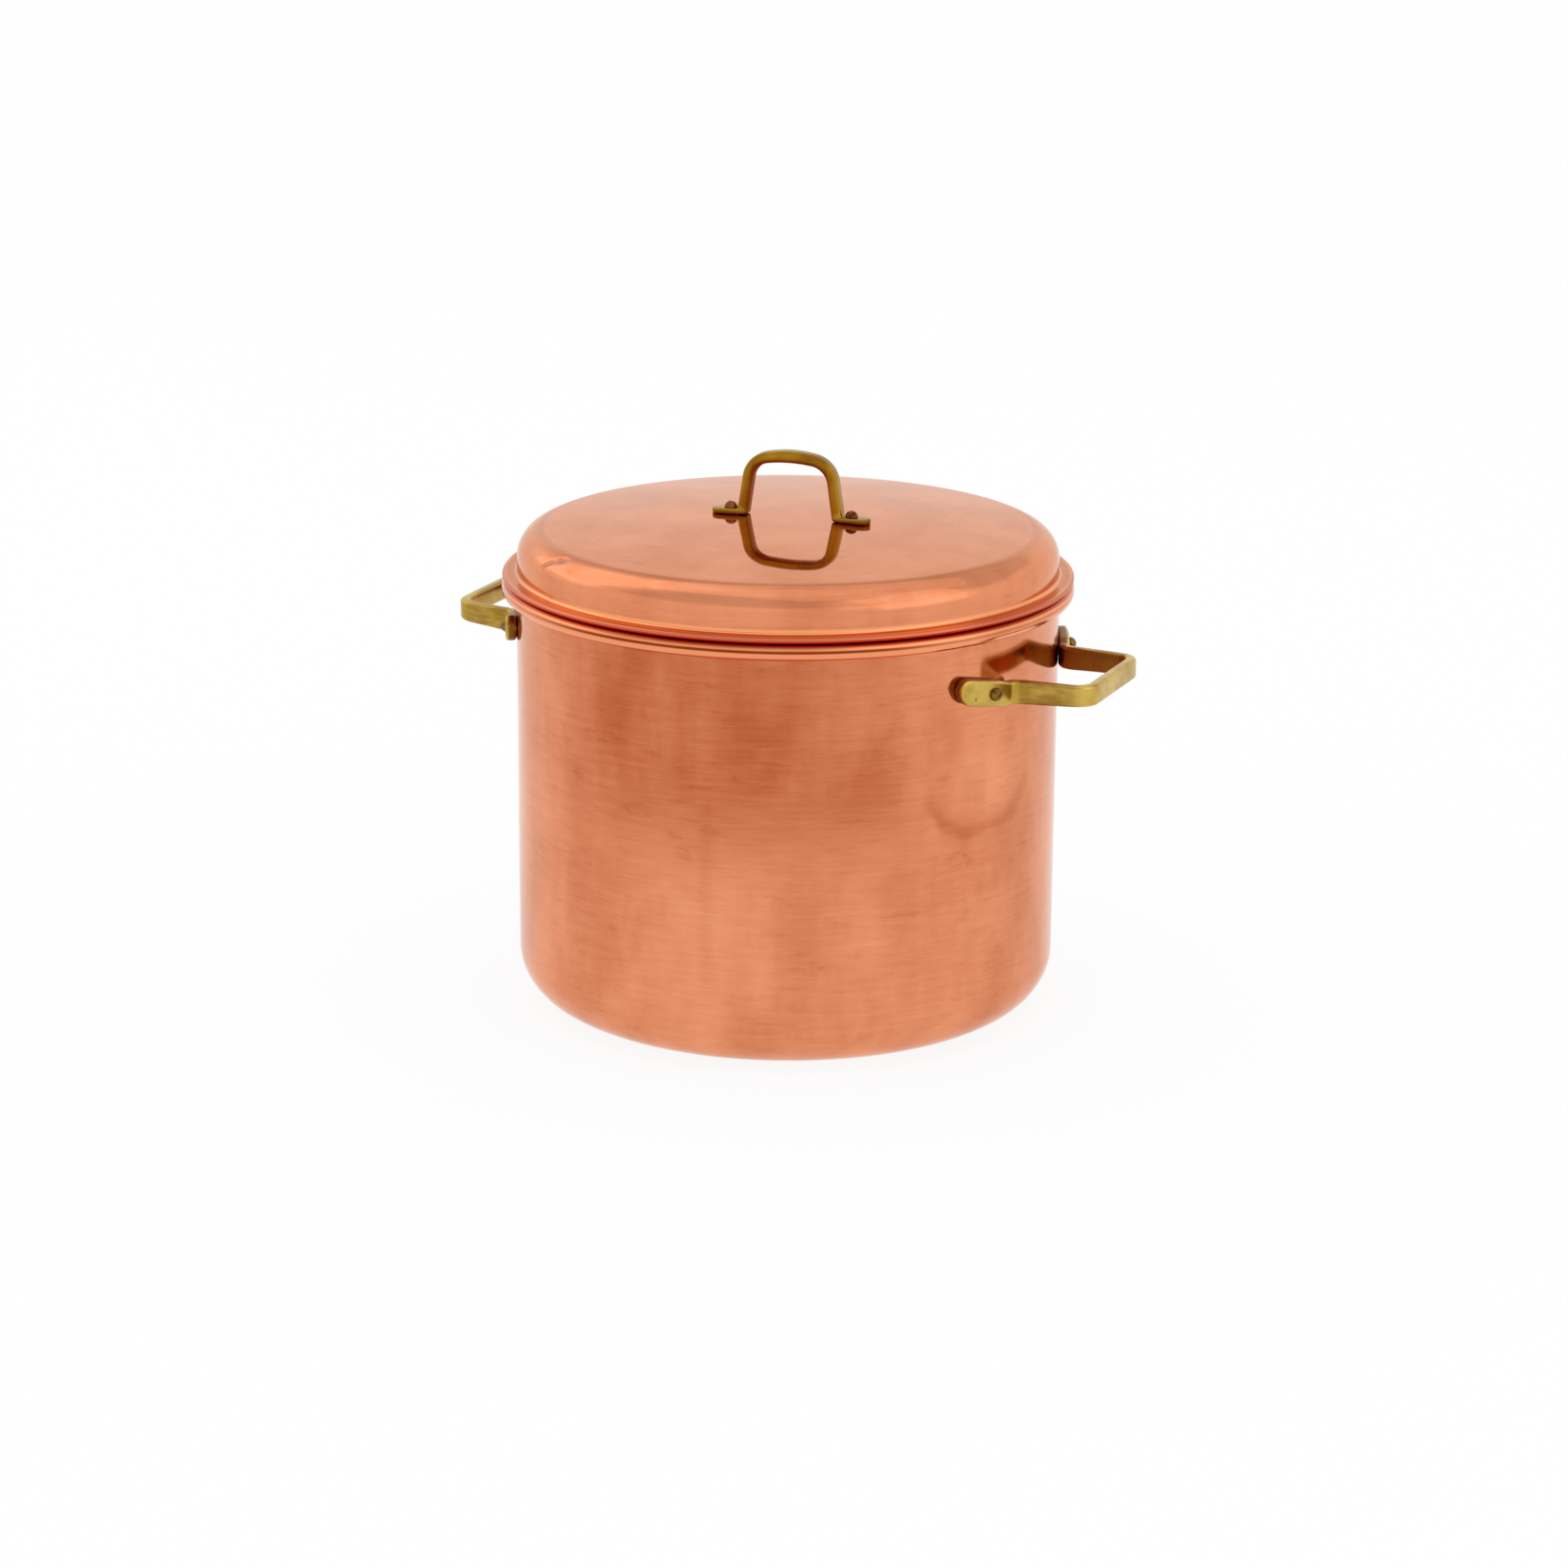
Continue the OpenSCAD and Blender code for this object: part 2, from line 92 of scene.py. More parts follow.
class Value:
    """A socket with arithmetic: an expression on values adds Math nodes to its tree."""

    __add__ = maths("ADD", "self + other.")
    __radd__ = maths("ADD", "other + self.", True)
    __sub__ = maths("SUBTRACT", "self - other.")
    __rsub__ = maths("SUBTRACT", "other - self.", True)
    __mul__ = maths("MULTIPLY", "self * other.")
    __rmul__ = maths("MULTIPLY", "other * self.", True)
    __truediv__ = maths("DIVIDE", "self / other.")
    __rtruediv__ = maths("DIVIDE", "other / self.", True)
    __abs__ = maths("ABSOLUTE", "The value without its sign.")
    root = maths("SQRT", "The square root.")
    exp = maths("EXPONENT", "e to the value.")
    sin = maths("SINE", "The sine, of an angle in radians.")
    cos = maths("COSINE", "The cosine, of an angle in radians.")
    sign = maths("SIGN", "-1, 0 or 1.")
    floor = maths("FLOOR", "The whole number below.")
    at_least = maths("MAXIMUM", "The larger of two.")
    at_most = maths("MINIMUM", "The smaller of two.")
    above = maths("GREATER_THAN", "1 where the value is above another, else 0.")

    def __init__(self, nodes: "Nodes", socket: bpy.types.NodeSocket) -> None:
        """Wraps an output socket of a tree."""
        self.nodes = nodes
        self.socket = socket

    def __neg__(self) -> "Value":
        """-self."""
        return self * -1.0

    def also(self, output: str) -> "Value":
        """Another output of the same node."""
        return Value(self.nodes, self.socket.node.outputs[output])

    def step(self, low: float, high: float) -> "Value":
        """A smooth step from 0 at one value to 1 at another.

        Args:
            low: The value where the step starts.
            high: The value where it has reached 1; it may be below low.

        Returns:
            The step, from 0 to 1.
        """
        if low > high:
            return 1.0 - self.step(high, low)
        sockets = {0: self, 1: low, 2: high}
        return self.nodes.add("ShaderNodeMapRange", sockets, interpolation_type="SMOOTHSTEP", clamp=True)


Number = float | Value
Sockets = dict[int | str, object]


class Nodes:
    """A node tree that is filled by calls."""

    def __init__(self, tree: bpy.types.NodeTree) -> None:
        """Wraps a tree."""
        self.tree = tree

    def node(
        self, kind: str, sockets: Sockets | None = None, **settings: object
    ) -> bpy.types.Node:
        """Adds a node.

        Args:
            kind: The node's type.
            sockets: A number, colour, vector or Value for each input that is set.
            settings: The node's properties, which are set first.

        Returns:
            The node.
        """
        node = self.tree.nodes.new(kind)
        for name, setting in settings.items():
            setattr(node, name, setting)
        for key, given in (sockets or {}).items():
            if isinstance(given, Value):
                self.tree.links.new(given.socket, node.inputs[key])
            else:
                node.inputs[key].default_value = given
        return node

    def add(
        self, kind: str, sockets: Sockets | None = None, out: int | str = 0, **settings: object
    ) -> Value:
        """Adds a node by the method above, and gives the output that is wanted."""
        return Value(self, self.node(kind, sockets, **settings).outputs[out])

    def vector(self, x: Number, y: Number, z: Number) -> Value:
        """A vector from three numbers."""
        return self.add("ShaderNodeCombineXYZ", {0: x, 1: y, 2: z})

    def parts(self, vector: Value) -> tuple[Value, Value, Value]:
        """The three numbers of a vector."""
        split = self.add("ShaderNodeSeparateXYZ", {0: vector})
        return split, split.also("Y"), split.also("Z")

    def vectors(self, operation: str, *operands: Value | Place, out: str = "Vector") -> Value:
        """A Vector Math node on vectors."""
        return self.add("ShaderNodeVectorMath", dict(enumerate(operands)), out, operation=operation)

    def scaled(self, vector: Value, amount: Number) -> Value:
        """A vector times a number."""
        return self.add("ShaderNodeVectorMath", {0: vector, "Scale": amount}, operation="SCALE")

    def noise(self, point: Value, scale: float, detail: float = 2.0, rough: float = 0.5) -> Value:
        """Soft noise at a point, about 0 to 1; rough is the strength of its finer octaves."""
        sockets = {"Vector": point, "Scale": scale, "Detail": detail, "Roughness": rough}
        return self.add("ShaderNodeTexNoise", sockets)

    def blend(self, factor: Number, low: Value | Colour, high: Value | Colour) -> Value:
        """A colour between two: 0 gives the first and 1 the second."""
        low, high = (c if isinstance(c, Value) else (*c, 1.0) for c in (low, high))
        return self.add("ShaderNodeMix", {0: factor, 6: low, 7: high}, 2, data_type="RGBA")


class ShapeTree(Nodes):
    """A geometry tree with named inputs, whose first one is the line that it starts from."""

    def __init__(self, name: str, kinds: dict[str, str]) -> None:
        """Starts the tree.

        Args:
            name: The tree's name.
            kinds: The kind of each further input, such as Int, Float, Material or Object.
        """
        super().__init__(bpy.data.node_groups.new(name, "GeometryNodeTree"))
        face = self.tree.interface
        for label, kind in {"Line": "Geometry", **kinds}.items():
            face.new_socket(label, in_out="INPUT", socket_type="NodeSocket" + kind)
        face.new_socket("Shape", in_out="OUTPUT", socket_type="NodeSocketGeometry")
        given = self.node("NodeGroupInput")
        self.inputs = [Value(self, given.outputs[label]) for label in ("Line", *kinds)]

    def index(self) -> Value:
        """Number of the point or face that a field is read on."""
        return self.add("GeometryNodeInputIndex")

    def position(self) -> Value:
        """Place of the point that a field is read on."""
        return self.add("GeometryNodeInputPosition")

    def stored(self, name: str, kind: str) -> Value:
        """An attribute of a geometry, by name."""
        return self.add("GeometryNodeInputNamedAttribute", {"Name": name}, data_type=kind)

    def picked(self, geometry: Value, value: Value, kind: str, index: Value) -> Value:
        """The value, of a kind, that a field has on a geometry's point of some number."""
        sockets = {"Geometry": geometry, "Value": value, "Index": index}
        return self.add("GeometryNodeSampleIndex", sockets, data_type=kind, domain="POINT")

    def grid(self, rows: Value, columns: Value) -> tuple[Value, Value, Value]:
        """A grid of points, with the row and the column of each.

        Args:
            rows: How many rows it has.
            columns: How many points each row has.

        Returns:
            The grid, and the fields of the row and the column.
        """
        mesh = self.add("GeometryNodeMeshGrid", {"Vertices X": rows, "Vertices Y": columns})
        row = (self.index() / columns).floor()
        return mesh, row, self.index() - row * columns

    def placed(self, geometry: Value, point: Value) -> Value:
        """The geometry with its points at new places, and with those that meet made one."""
        moved = self.add("GeometryNodeSetPosition", {"Geometry": geometry, "Position": point})
        return self.add("GeometryNodeMergeByDistance", {"Geometry": moved, "Distance": 2 * POLE})

    def nudged(self, geometry: Value, amount: Value) -> Value:
        """The geometry with its points moved along their normals."""
        offset = self.scaled(self.add("GeometryNodeInputNormal"), amount)
        return self.add("GeometryNodeSetPosition", {"Geometry": geometry, "Offset": offset})

    def end(self, geometry: Value, finishes: dict[Value, Value | bool]) -> bpy.types.NodeTree:
        """Ends the tree with real, smooth geometry that has its finishes.

        Args:
            geometry: The shape.
            finishes: Each material and where it goes, in the order that they are laid on.

        Returns:
            The tree.
        """
        shape = self.add("GeometryNodeRealizeInstances", {"Geometry": geometry})
        shape = self.add("GeometryNodeSetShadeSmooth", {"Geometry": shape})
        for finish, where in finishes.items():
            sockets = {"Geometry": shape, "Selection": where, "Material": finish}
            shape = self.add("GeometryNodeSetMaterial", sockets)
        self.node("NodeGroupOutput", {0: shape})
        return self.tree


@cache
def revolved_tree() -> bpy.types.NodeTree:
    """A tree that turns an outline round the Z axis.

    Returns:
        The tree. The outline's points are (radius, 0, height). Rows from Outer Rows on have the
        inner finish. Waviness is how far the sheet wanders inwards.
    """
    kinds = {"Rows": "Int", "Segments": "Int", "Outer Rows": "Int", "Waviness": "Float"}
    kinds |= {"Wave Size": "Float", "Seed": "Float", "Outer Finish": "Material", "Inner Finish": "Material"}
    t = ShapeTree("revolved sheet", kinds)
    line, rows, segments, outer_rows, waviness, wave_size, seed, outer, inner = t.inputs
    mesh, row, column = t.grid(rows, segments + 1.0)
    radius, _, height = t.parts(t.picked(line, t.position(), VECTOR, row))
    turn = column / segments * math.tau
    reach = radius / wave_size
    place = t.vector(reach * turn.cos(), reach * turn.sin(), height / wave_size * WAVE_SQUASH + seed)
    wave = (t.noise(place, 1.0, 1.0) - NOISE_TOP).at_most(0.0)
    swollen = radius + wave * waviness * radius.step(CALM, WAVY)
    sockets = {"Geometry": mesh, "Name": "row", "Value": (t.index() / segments).floor()}
    named = t.add("GeometryNodeStoreNamedAttribute", sockets, data_type=FLOAT, domain="FACE")
    shape = t.placed(named, t.vector(swollen * turn.cos(), swollen * turn.sin(), height))
    inside = t.stored("row", FLOAT).above(outer_rows - 1.5)
    return t.end(shape, {outer: True, inner: inside})


@cache
def bar_tree() -> bpy.types.NodeTree:
    """A tree that draws a bar with round edges through the stations of a path.

    Returns:
        The tree. Each station has its middle, the directions across and up, its thickness across
        and its width up. Forging is how deep the hollows in its faces are.
    """
    kinds = {"Rows": "Int", "Edge Steps": "Int", "Edge Radius": "Float", "Forging": "Float"}
    t = ShapeTree("forged bar", {**kinds, "Seed": "Float", "Finish": "Material"})
    line, rows, steps, edge_radius, forging, seed, finish = t.inputs
    mesh, row, column = t.grid(rows, 4.0 * (steps + 1.0) + 1.0)
    middle = t.picked(line, t.position(), VECTOR, row)
    across, up = (t.picked(line, t.stored(name, VECTOR), VECTOR, row) for name in ("across", "up"))
    half_t, half_w = (t.picked(line, t.stored(name, FLOAT), FLOAT, row) / 2.0 for name in ("thick", "wide"))
    edge = edge_radius.at_most(half_t * EDGE_SHARE).at_most(half_w * EDGE_SHARE)
    quarter = (column / (steps + 1.0)).floor()
    turn = (quarter + (column - quarter * (steps + 1.0)) / steps) * (math.pi / 2)
    corner = quarter * (math.pi / 2) + math.pi / 4
    x = corner.cos().sign() * (half_t - edge) + edge * turn.cos()
    y = corner.sin().sign() * (half_w - edge) + edge * turn.sin()
    place = t.vectors("ADD", t.scaled(across, x), t.scaled(up, y))
    shape = t.placed(mesh, t.vectors("ADD", place, middle))
    x, y, z = t.parts(t.position())
    hollows = (t.noise(t.vector(x + seed, y, z), HOLLOWS) - NOISE_TOP).at_most(0.0)
    return t.end(t.nudged(shape, hollows * forging), {finish: True})


@cache
def rivet_tree() -> bpy.types.NodeTree:
    """A tree that sets a rivet at each point of a mesh, along the point's facing.

    Returns:
        The tree. Each rivet is turned about its own axis at random, and differs a little in size.
    """
    kinds = {"Rivet": "Object", "Spread": "Float", "Seed": "Int", "Finish": "Material"}
    t = ShapeTree("rivets", kinds)
    points, rivet, spread, seed, finish = t.inputs
    facing = {"Vector": t.stored("facing", VECTOR)}
    turned = t.add("FunctionNodeAlignRotationToVector", facing, axis="Z")
    turns = {0: (0.0, 0.0, 0.0), 1: (0.0, 0.0, math.tau), "Seed": seed}
    spin = t.add("FunctionNodeRandomValue", turns, data_type=VECTOR)
    both = {"Rotation": turned, "Rotate By": t.add("FunctionNodeEulerToRotation", {0: spin})}
    turned = t.add("FunctionNodeRotateRotation", both, rotation_space="LOCAL")
    sizes = {2: 1.0 - spread, 3: 1.0 + spread, "Seed": seed + 7.0}
    size = t.add("FunctionNodeRandomValue", sizes, 1, data_type=FLOAT)
    model = t.add("GeometryNodeObjectInfo", {"Object": rivet}, "Geometry")
    sockets = {"Points": points, "Instance": model, "Rotation": turned, "Scale": t.vector(size, size, 1.0)}
    return t.end(t.add("GeometryNodeInstanceOnPoints", sockets), {finish: True})


# Lines and meshes


def polar(size: float, angle: float) -> Point:
    """The point of a circle of a size at an angle."""
    return size * math.cos(math.radians(angle)), size * math.sin(math.radians(angle))


def arc(centre: Point, radius: float, start: float, stop: float, steps: int) -> list[Point]:
    """Points of an arc from one angle to another, one more than its steps."""
    rays = [polar(radius, start + (stop - start) * i / steps) for i in range(steps + 1)]
    return [(centre[0] + x, centre[1] + y) for x, y in rays]


def straight(start: Point, stop: Point, steps: int) -> list[Point]:
    """Points between two, without the first and the last."""
    run, rise = minus(stop, start)
    return [(start[0] + run * i / steps, start[1] + rise * i / steps) for i in range(1, steps)]


def minus(a: Point, b: Point) -> Point:
    """The difference of two points."""
    return a[0] - b[0], a[1] - b[1]


def line_mesh(name: str, points: list[Vector]) -> bpy.types.Mesh:
    """A mesh of points joined in a row.

    Args:
        name: The mesh's name.
        points: The points.

    Returns:
        The mesh.
    """
    mesh = bpy.data.meshes.new(name)
    mesh.from_pydata(points, [(i, i + 1) for i in range(len(points) - 1)], [])
    return mesh


def set_attribute(mesh: bpy.types.Mesh, name: str, values: list[float] | list[Vector]) -> None:
    """Stores numbers or vectors on a mesh's points.

    Args:
        mesh: The mesh.
        name: The attribute's name.
        values: One value for each point.
    """
    is_vector = isinstance(values[0], Vector)
    attribute = mesh.attributes.new(name, VECTOR if is_vector else FLOAT, "POINT")
    flat = [part for value in values for part in value] if is_vector else values
    attribute.data.foreach_set("vector" if is_vector else "value", flat)


def grown(name: str, source: bpy.types.Mesh, tree: bpy.types.NodeTree, values: dict) -> bpy.types.Object:
    """Runs a geometry tree on a mesh and keeps the result as a plain mesh.

    Args:
        name: Name of the piece.
        source: The mesh that the tree starts from.
        tree: The tree.
        values: A value for each of the tree's inputs, by its name.

    Returns:
        The piece, at the origin.
    """
    draft = bpy.data.objects.new(name + "_draft", source)
    bpy.context.scene.collection.objects.link(draft)
    modifier = draft.modifiers.new("shape", "NODES")
    modifier.node_group = tree
    for item in tree.interface.items_tree:
        if item.in_out == "INPUT" and item.name in values:
            modifier[item.identifier] = values[item.name]
    graph = bpy.context.evaluated_depsgraph_get()
    mesh = bpy.data.meshes.new_from_object(draft.evaluated_get(graph), depsgraph=graph)
    draft.modifiers.clear()
    bpy.data.objects.remove(draft)
    closed_up(mesh)
    mesh.name = name
    piece = bpy.data.objects.new(name, mesh)
    bpy.context.scene.collection.objects.link(piece)
    return piece


def closed_up(mesh: bpy.types.Mesh) -> None:
    """Closes a mesh's open ends and turns its faces outwards.

    Args:
        mesh: The mesh, which is changed.
    """
    work = bmesh.new()
    work.from_mesh(mesh)
    bmesh.ops.remove_doubles(work, verts=work.verts, dist=2 * POLE)
    bmesh.ops.dissolve_degenerate(work, edges=work.edges, dist=POLE)
    open_edges = [edge for edge in work.edges if edge.is_boundary]
    if open_edges:
        bmesh.ops.holes_fill(work, edges=open_edges, sides=0)
    bmesh.ops.recalc_face_normals(work, faces=work.faces)
    for face in work.faces:
        face.smooth = True
    work.to_mesh(mesh)
    work.free()


# Finishes


def shade(owner: bpy.types.Material | bpy.types.World, shader: Callable[[Nodes], Value]) -> None:
    """Gives a material or a world its shader.

    Args:
        owner: The material or the world.
        shader: The function that builds the shader in a tree.
    """
    owner.use_nodes = True
    owner.node_tree.nodes.clear()
    nodes = Nodes(owner.node_tree)
    of_world = isinstance(owner, bpy.types.World)
    output = "ShaderNodeOutputWorld" if of_world else "ShaderNodeOutputMaterial"
    nodes.node(output, {"Surface": shader(nodes)})


class Finish:
    """A material that is built once, from its own values."""

    name: str

    def material(self) -> bpy.types.Material:
        """Builds the material, or finds the one that was built before.

        Returns:
            The material.
        """
        made = bpy.data.materials.get(self.name)
        if made is None:
            made = bpy.data.materials.new(self.name)
            shade(made, self.surface)
        return made

    def surface(self, nodes: Nodes) -> Value:
        """The finish's shader."""
        raise NotImplementedError

    @staticmethod
    def place(nodes: Nodes) -> Value:
        """Object coordinates."""
        return nodes.add("ShaderNodeTexCoord", None, "Object")

    @staticmethod
    def metal(
        nodes: Nodes,
        colour: Value,
        rough: Number,
        height: Value,
        depth: float,
        grain: float = 0.0,
        edge: Colour = (1.0, 1.0, 1.0),
    ) -> Value:
        """A metal surface.

        Args:
            nodes: The tree.
            colour: Its colour.
            rough: Its roughness.
            height: Its relief, from 0 to 1.
            depth: Depth of the relief.
            grain: How much the gloss is drawn out across the brushing.
            edge: Tint of the gloss at a grazing angle.

        Returns:
            The shader.
        """
        relief = {"Strength": 1.0, "Distance": depth, "Height": height}
        sockets = {"Base Color": colour, "Metallic": 1.0, "Roughness": rough, "Anisotropic": grain}
        sockets |= {"Specular Tint": (*edge, 1.0), "Normal": nodes.add("ShaderNodeBump", relief)}
        return nodes.add("ShaderNodeBsdfPrincipled", sockets)


@dataclass(frozen=True)
class Grain:
    """Soft noise in a metal."""

    scale: float  # lumps per metre of the stretched point
    detail: float = 2.0  # octaves of finer lumps
    rough: float = 0.5  # strength of the finer lumps
    stretch: Place = (1.0, 1.0, 1.0)
    start: float = 0.0  # where the pattern starts

    def read(self, nodes: Nodes, point: Value) -> Value:
        """The noise at a point, about 0 to 1."""
        place = nodes.vectors("MULTIPLY_ADD", point, self.stretch, (0.0, 0.0, self.start))
        return nodes.noise(place, self.scale, self.detail, self.rough)


@dataclass(frozen=True)
class Ramp:
    """A smooth step between two values, which gives a weight."""

    start: float
    full: float
    weight: float = 1.0

    def of(self, value: Value) -> Value:
        """What a value gives, from 0 to the weight."""
        return value.step(self.start, self.full) * self.weight


@dataclass(frozen=True)
class Crease:
    """A short dent in the sheet, from one point to another. Points are in millimetres."""

    start: Place
    stop: Place
    width: float  # half of its width
    depth: float
    reach: float = 0.6  # how far it goes from its middle, in lengths

    def mask(self, nodes: Nodes, point: Value) -> Value:
        """How deep the dent is at a point.

        Args:
            nodes: The material's tree.
            point: The point.

        Returns:
            The share of its depth, from 0 to 1.
        """
        first, last = Vector(self.start) * MM, Vector(self.stop) * MM
        length = (last - first).length * self.reach
        away = nodes.vectors("SUBTRACT", point, tuple((first + last) / 2))
        run = nodes.vectors("DOT_PRODUCT", away, tuple((last - first).normalized()), out="Value")
        far = nodes.vectors("LENGTH", away, out="Value")
        off = (far * far - run * run).at_least(0.0) / self.width**2
        return (-(run * run / length**2 + off)).exp()


@dataclass(frozen=True)
class TintAndLightRing:
    """A ring of tarnish round the Z axis. Its limits are in millimetres: start, full, full, end."""

    radius: Limits
    height: Limits
    colour: Colour
    strength: float = 1.0  # how much of the copper it covers at the front
    fade: float = 0.0  # how much of that is missing at the sides and the back

    def mask(self, radius: Value, height: Value, ahead: Value) -> Value:
        """How much of the copper it covers at a point.

        Args:
            radius: The point's distance from the axis.
            height: Its height.
            ahead: 1 at the front, 0 at the sides and the back.

        Returns:
            The cover, from 0 to 1.
        """
        ring = self.strength * (1.0 - self.fade) + ahead * (self.strength * self.fade)
        for value, limits in ((radius, self.radius), (height, self.height)):
            start, full, still, end = (limit * MM for limit in limits)
            ring = ring * value.step(start, full) * value.step(end, still)
        return ring


@dataclass(frozen=True)
class WaterMark:
    """A faint round mark: paler inside, and darker along its lower edge. Ramps are in its radii."""

    place: Place = (0.1113, -0.0449, 0.1218)
    size: Point = (31 * MM, 21 * MM)  # half of its width and of its height
    strength: float = 0.23
    middle: Ramp = Ramp(1.0, 0.4, 0.7)  # the paler middle
    inner: Ramp = Ramp(0.72, 0.96)  # inner side of the dark edge
    outer: Ramp = Ramp(1.20, 1.0)  # outer side of it
    below: Ramp = Ramp(0.2, -0.6)  # heights between which it gets dark

    def tone(self, nodes: Nodes, point: Value, ragged: Value) -> Value:
        """How much lighter the copper is at a point.

        Args:
            nodes: The material's tree.
            point: The point.
            ragged: How far the mark's edge wanders, in radii.

        Returns:
            The change of tone; it is negative along the edge.
        """
        wide, high = self.size
        away = nodes.vectors("SUBTRACT", point, self.place)
        away = nodes.vectors("MULTIPLY", away, (1.0 / wide, 1.0 / wide, 1.0 / high))
        far = nodes.vectors("LENGTH", away, out="Value") + ragged
        _, _, rise = nodes.parts(away)
        edge = self.inner.of(far) * self.outer.of(far) * self.below.of(rise)
        return (self.middle.of(far) - edge) * self.strength


@dataclass(frozen=True)
class Copper(Finish):
    """Satin copper sheet, brushed round the pot's axis, with soft patches of tarnish."""

    name: str = "satin_copper"
    deep: Colour = (0.47, 0.105, 0.034)  # the redder patches
    clear: Colour = (0.84, 0.320, 0.160)  # the cleaner patches
    edge: Colour = (0.97, 0.92, 0.88)  # tint of the gloss at a grazing angle
    rough: float = 0.10
    rough_spread: float = 0.05  # how much patches and spots change it
    polish: float = 0.10  # roughness of the lid's crown
    crown: Ramp = Ramp(0.2105, 0.2128)  # heights where the crown starts
    crown_lines: float = 0.15  # how much of the brushed lines' depth is left on it
    depth: float = 0.000010  # of the brushed lines
    fine_share: float = 0.6  # share of the finest lines in it
    drawn: float = 0.3  # how much the gloss is drawn out across the brushing
    fine: Grain = Grain(1.0, 3.0, 0.65, (4.0, 4.0, 1500.0))  # three kinds of lines round the pot
    streaks: Grain = Grain(1.0, 4.0, 0.7, (6.0, 6.0, 420.0))
    scores: Grain = Grain(1.0, 4.0, 0.75, (5.0, 5.0, 190.0), 7.0)
    patches: Grain = Grain(24.0, 4.0, 0.55, (1.3, 1.3, 0.6))
    spots: Grain = Grain(70.0, 4.0, 0.6, (1.0, 1.0, 1.6))
    tone: float = 0.45  # share of the clear colour, before what follows
    fine_tone: float = 0.3  # weights of the first two kinds of lines
    streak_tone: float = 0.45
    patchy: Ramp = Ramp(0.28, 0.72, 0.42)  # what makes it clearer: patches, and heights near the base
    low: Ramp = Ramp(0.12, 0.06, 0.06)
    scored: Ramp = Ramp(0.56, 0.72, 0.17)  # what makes it redder: scores and spots
    spotted: Ramp = Ramp(0.6, 0.8, 0.24)
    facing: Place = (0.21, -0.978, 0.0)  # direction in which the upper wall gets a redder painted dark reflection
    ahead: Ramp = Ramp(0.62, 0.95)  # how nearly a point is in that direction
    dark_reflection_bottom: Ramp = Ramp(0.085, 0.125, 0.36)  # heights where the painted dark reflection starts
    dark_reflection_top: Ramp = Ramp(0.2, 0.19)  # heights where it ends
    dark_reflection_ragged: float = 0.09  # how far its lower edge wanders
    joint: Place = (0.9917, 0.1288, 0.0)  # normal of the upright plane with the wall's dark joint
    joint_side: Ramp = Ramp(0.045, 0.0, 0.12)  # distances from that plane, in radii
    joint_front: Ramp = Ramp(0.0, -0.1)  # keeps the joint at the front
    joint_bottom: Ramp = Ramp(0.03, 0.05)  # heights where it starts
    joint_top: Ramp = Ramp(0.13, 0.10)  # heights where it ends
    joint_ragged: float = 0.04  # how far it wanders
    mark_ragged: float = 0.8  # how far the marks' edges wander
    ring_rough: float = 0.1  # how much rougher a ring is
    dent_shade: float = 0.5  # how much redder and darker a dent is painted, as shade in it
    creases: tuple[Crease, ...] = ()
    # rings of painted highlight, painted shade and painted reflection, and a darker lid edge
    tint_and_light_rings: tuple[TintAndLightRing, ...] = ()
    marks: tuple[WaterMark, ...] = ()

    def surface(self, nodes: Nodes) -> Value:
        """The sheet's shader.

        Args:
            nodes: The material's tree.

        Returns:
            The shader.
        """
        point = self.place(nodes)
        x, y, z = nodes.parts(point)
        radius = (x * x + y * y + AXIS).root()
        front = y / radius
        way = nodes.vector(x / radius, front, radius - z)
        fine, streaks, scores = (grain.read(nodes, way) for grain in (self.fine, self.streaks, self.scores))
        patches, spots = self.patches.read(nodes, point), self.spots.read(nodes, point)
        lump = patches - 0.5
        ahead = self.ahead.of(nodes.vectors("DOT_PRODUCT", way, self.facing, out="Value"))
        # Painted dark reflection: the upper wall is redder towards the front.
        redder = ahead * self.dark_reflection_bottom.of(z + lump * self.dark_reflection_ragged) * self.dark_reflection_top.of(z)
        side = nodes.vectors("DOT_PRODUCT", way, self.joint, out="Value")
        joint = self.joint_side.of(abs(side + lump * self.joint_ragged)) * self.joint_front.of(front)
        joint = joint * self.joint_bottom.of(z) * self.joint_top.of(z)
        tone = self.tone + self.patchy.of(patches) + self.low.of(z) - joint - redder
        tone = tone + (streaks - 0.5) * self.streak_tone + (fine - 0.5) * self.fine_tone
        tone = tone - self.scored.of(scores) - self.spotted.of(spots)
        for mark in self.marks:
            tone = tone + mark.tone(nodes, point, lump * self.mark_ragged)
        colour = nodes.blend(tone, self.deep, self.clear)
        crown = self.crown.of(z)
        rough = self.rough + crown * (self.polish - self.rough) + (lump + spots - 0.5) * self.rough_spread
        height = fine * self.fine_share + streaks * (1.0 - self.fine_share)
        height = height * (1.0 - crown * (1.0 - self.crown_lines))
        # Rings of painted highlight, painted shade and painted reflection, and the darker lid edge.
        for tinting in self.tint_and_light_rings:
            cover = tinting.mask(radius, z, ahead)
            colour = nodes.blend(cover, colour, tinting.colour)
            rough = rough + cover * self.ring_rough
        for crease in self.creases:
            dent = crease.mask(nodes, point)
            height = height - dent * (crease.depth / self.depth)
            # Painted shade in the dent.
            colour = nodes.blend(dent * self.dent_shade, colour, self.deep)
        return self.metal(nodes, colour, rough, height, self.depth, self.drawn, self.edge)


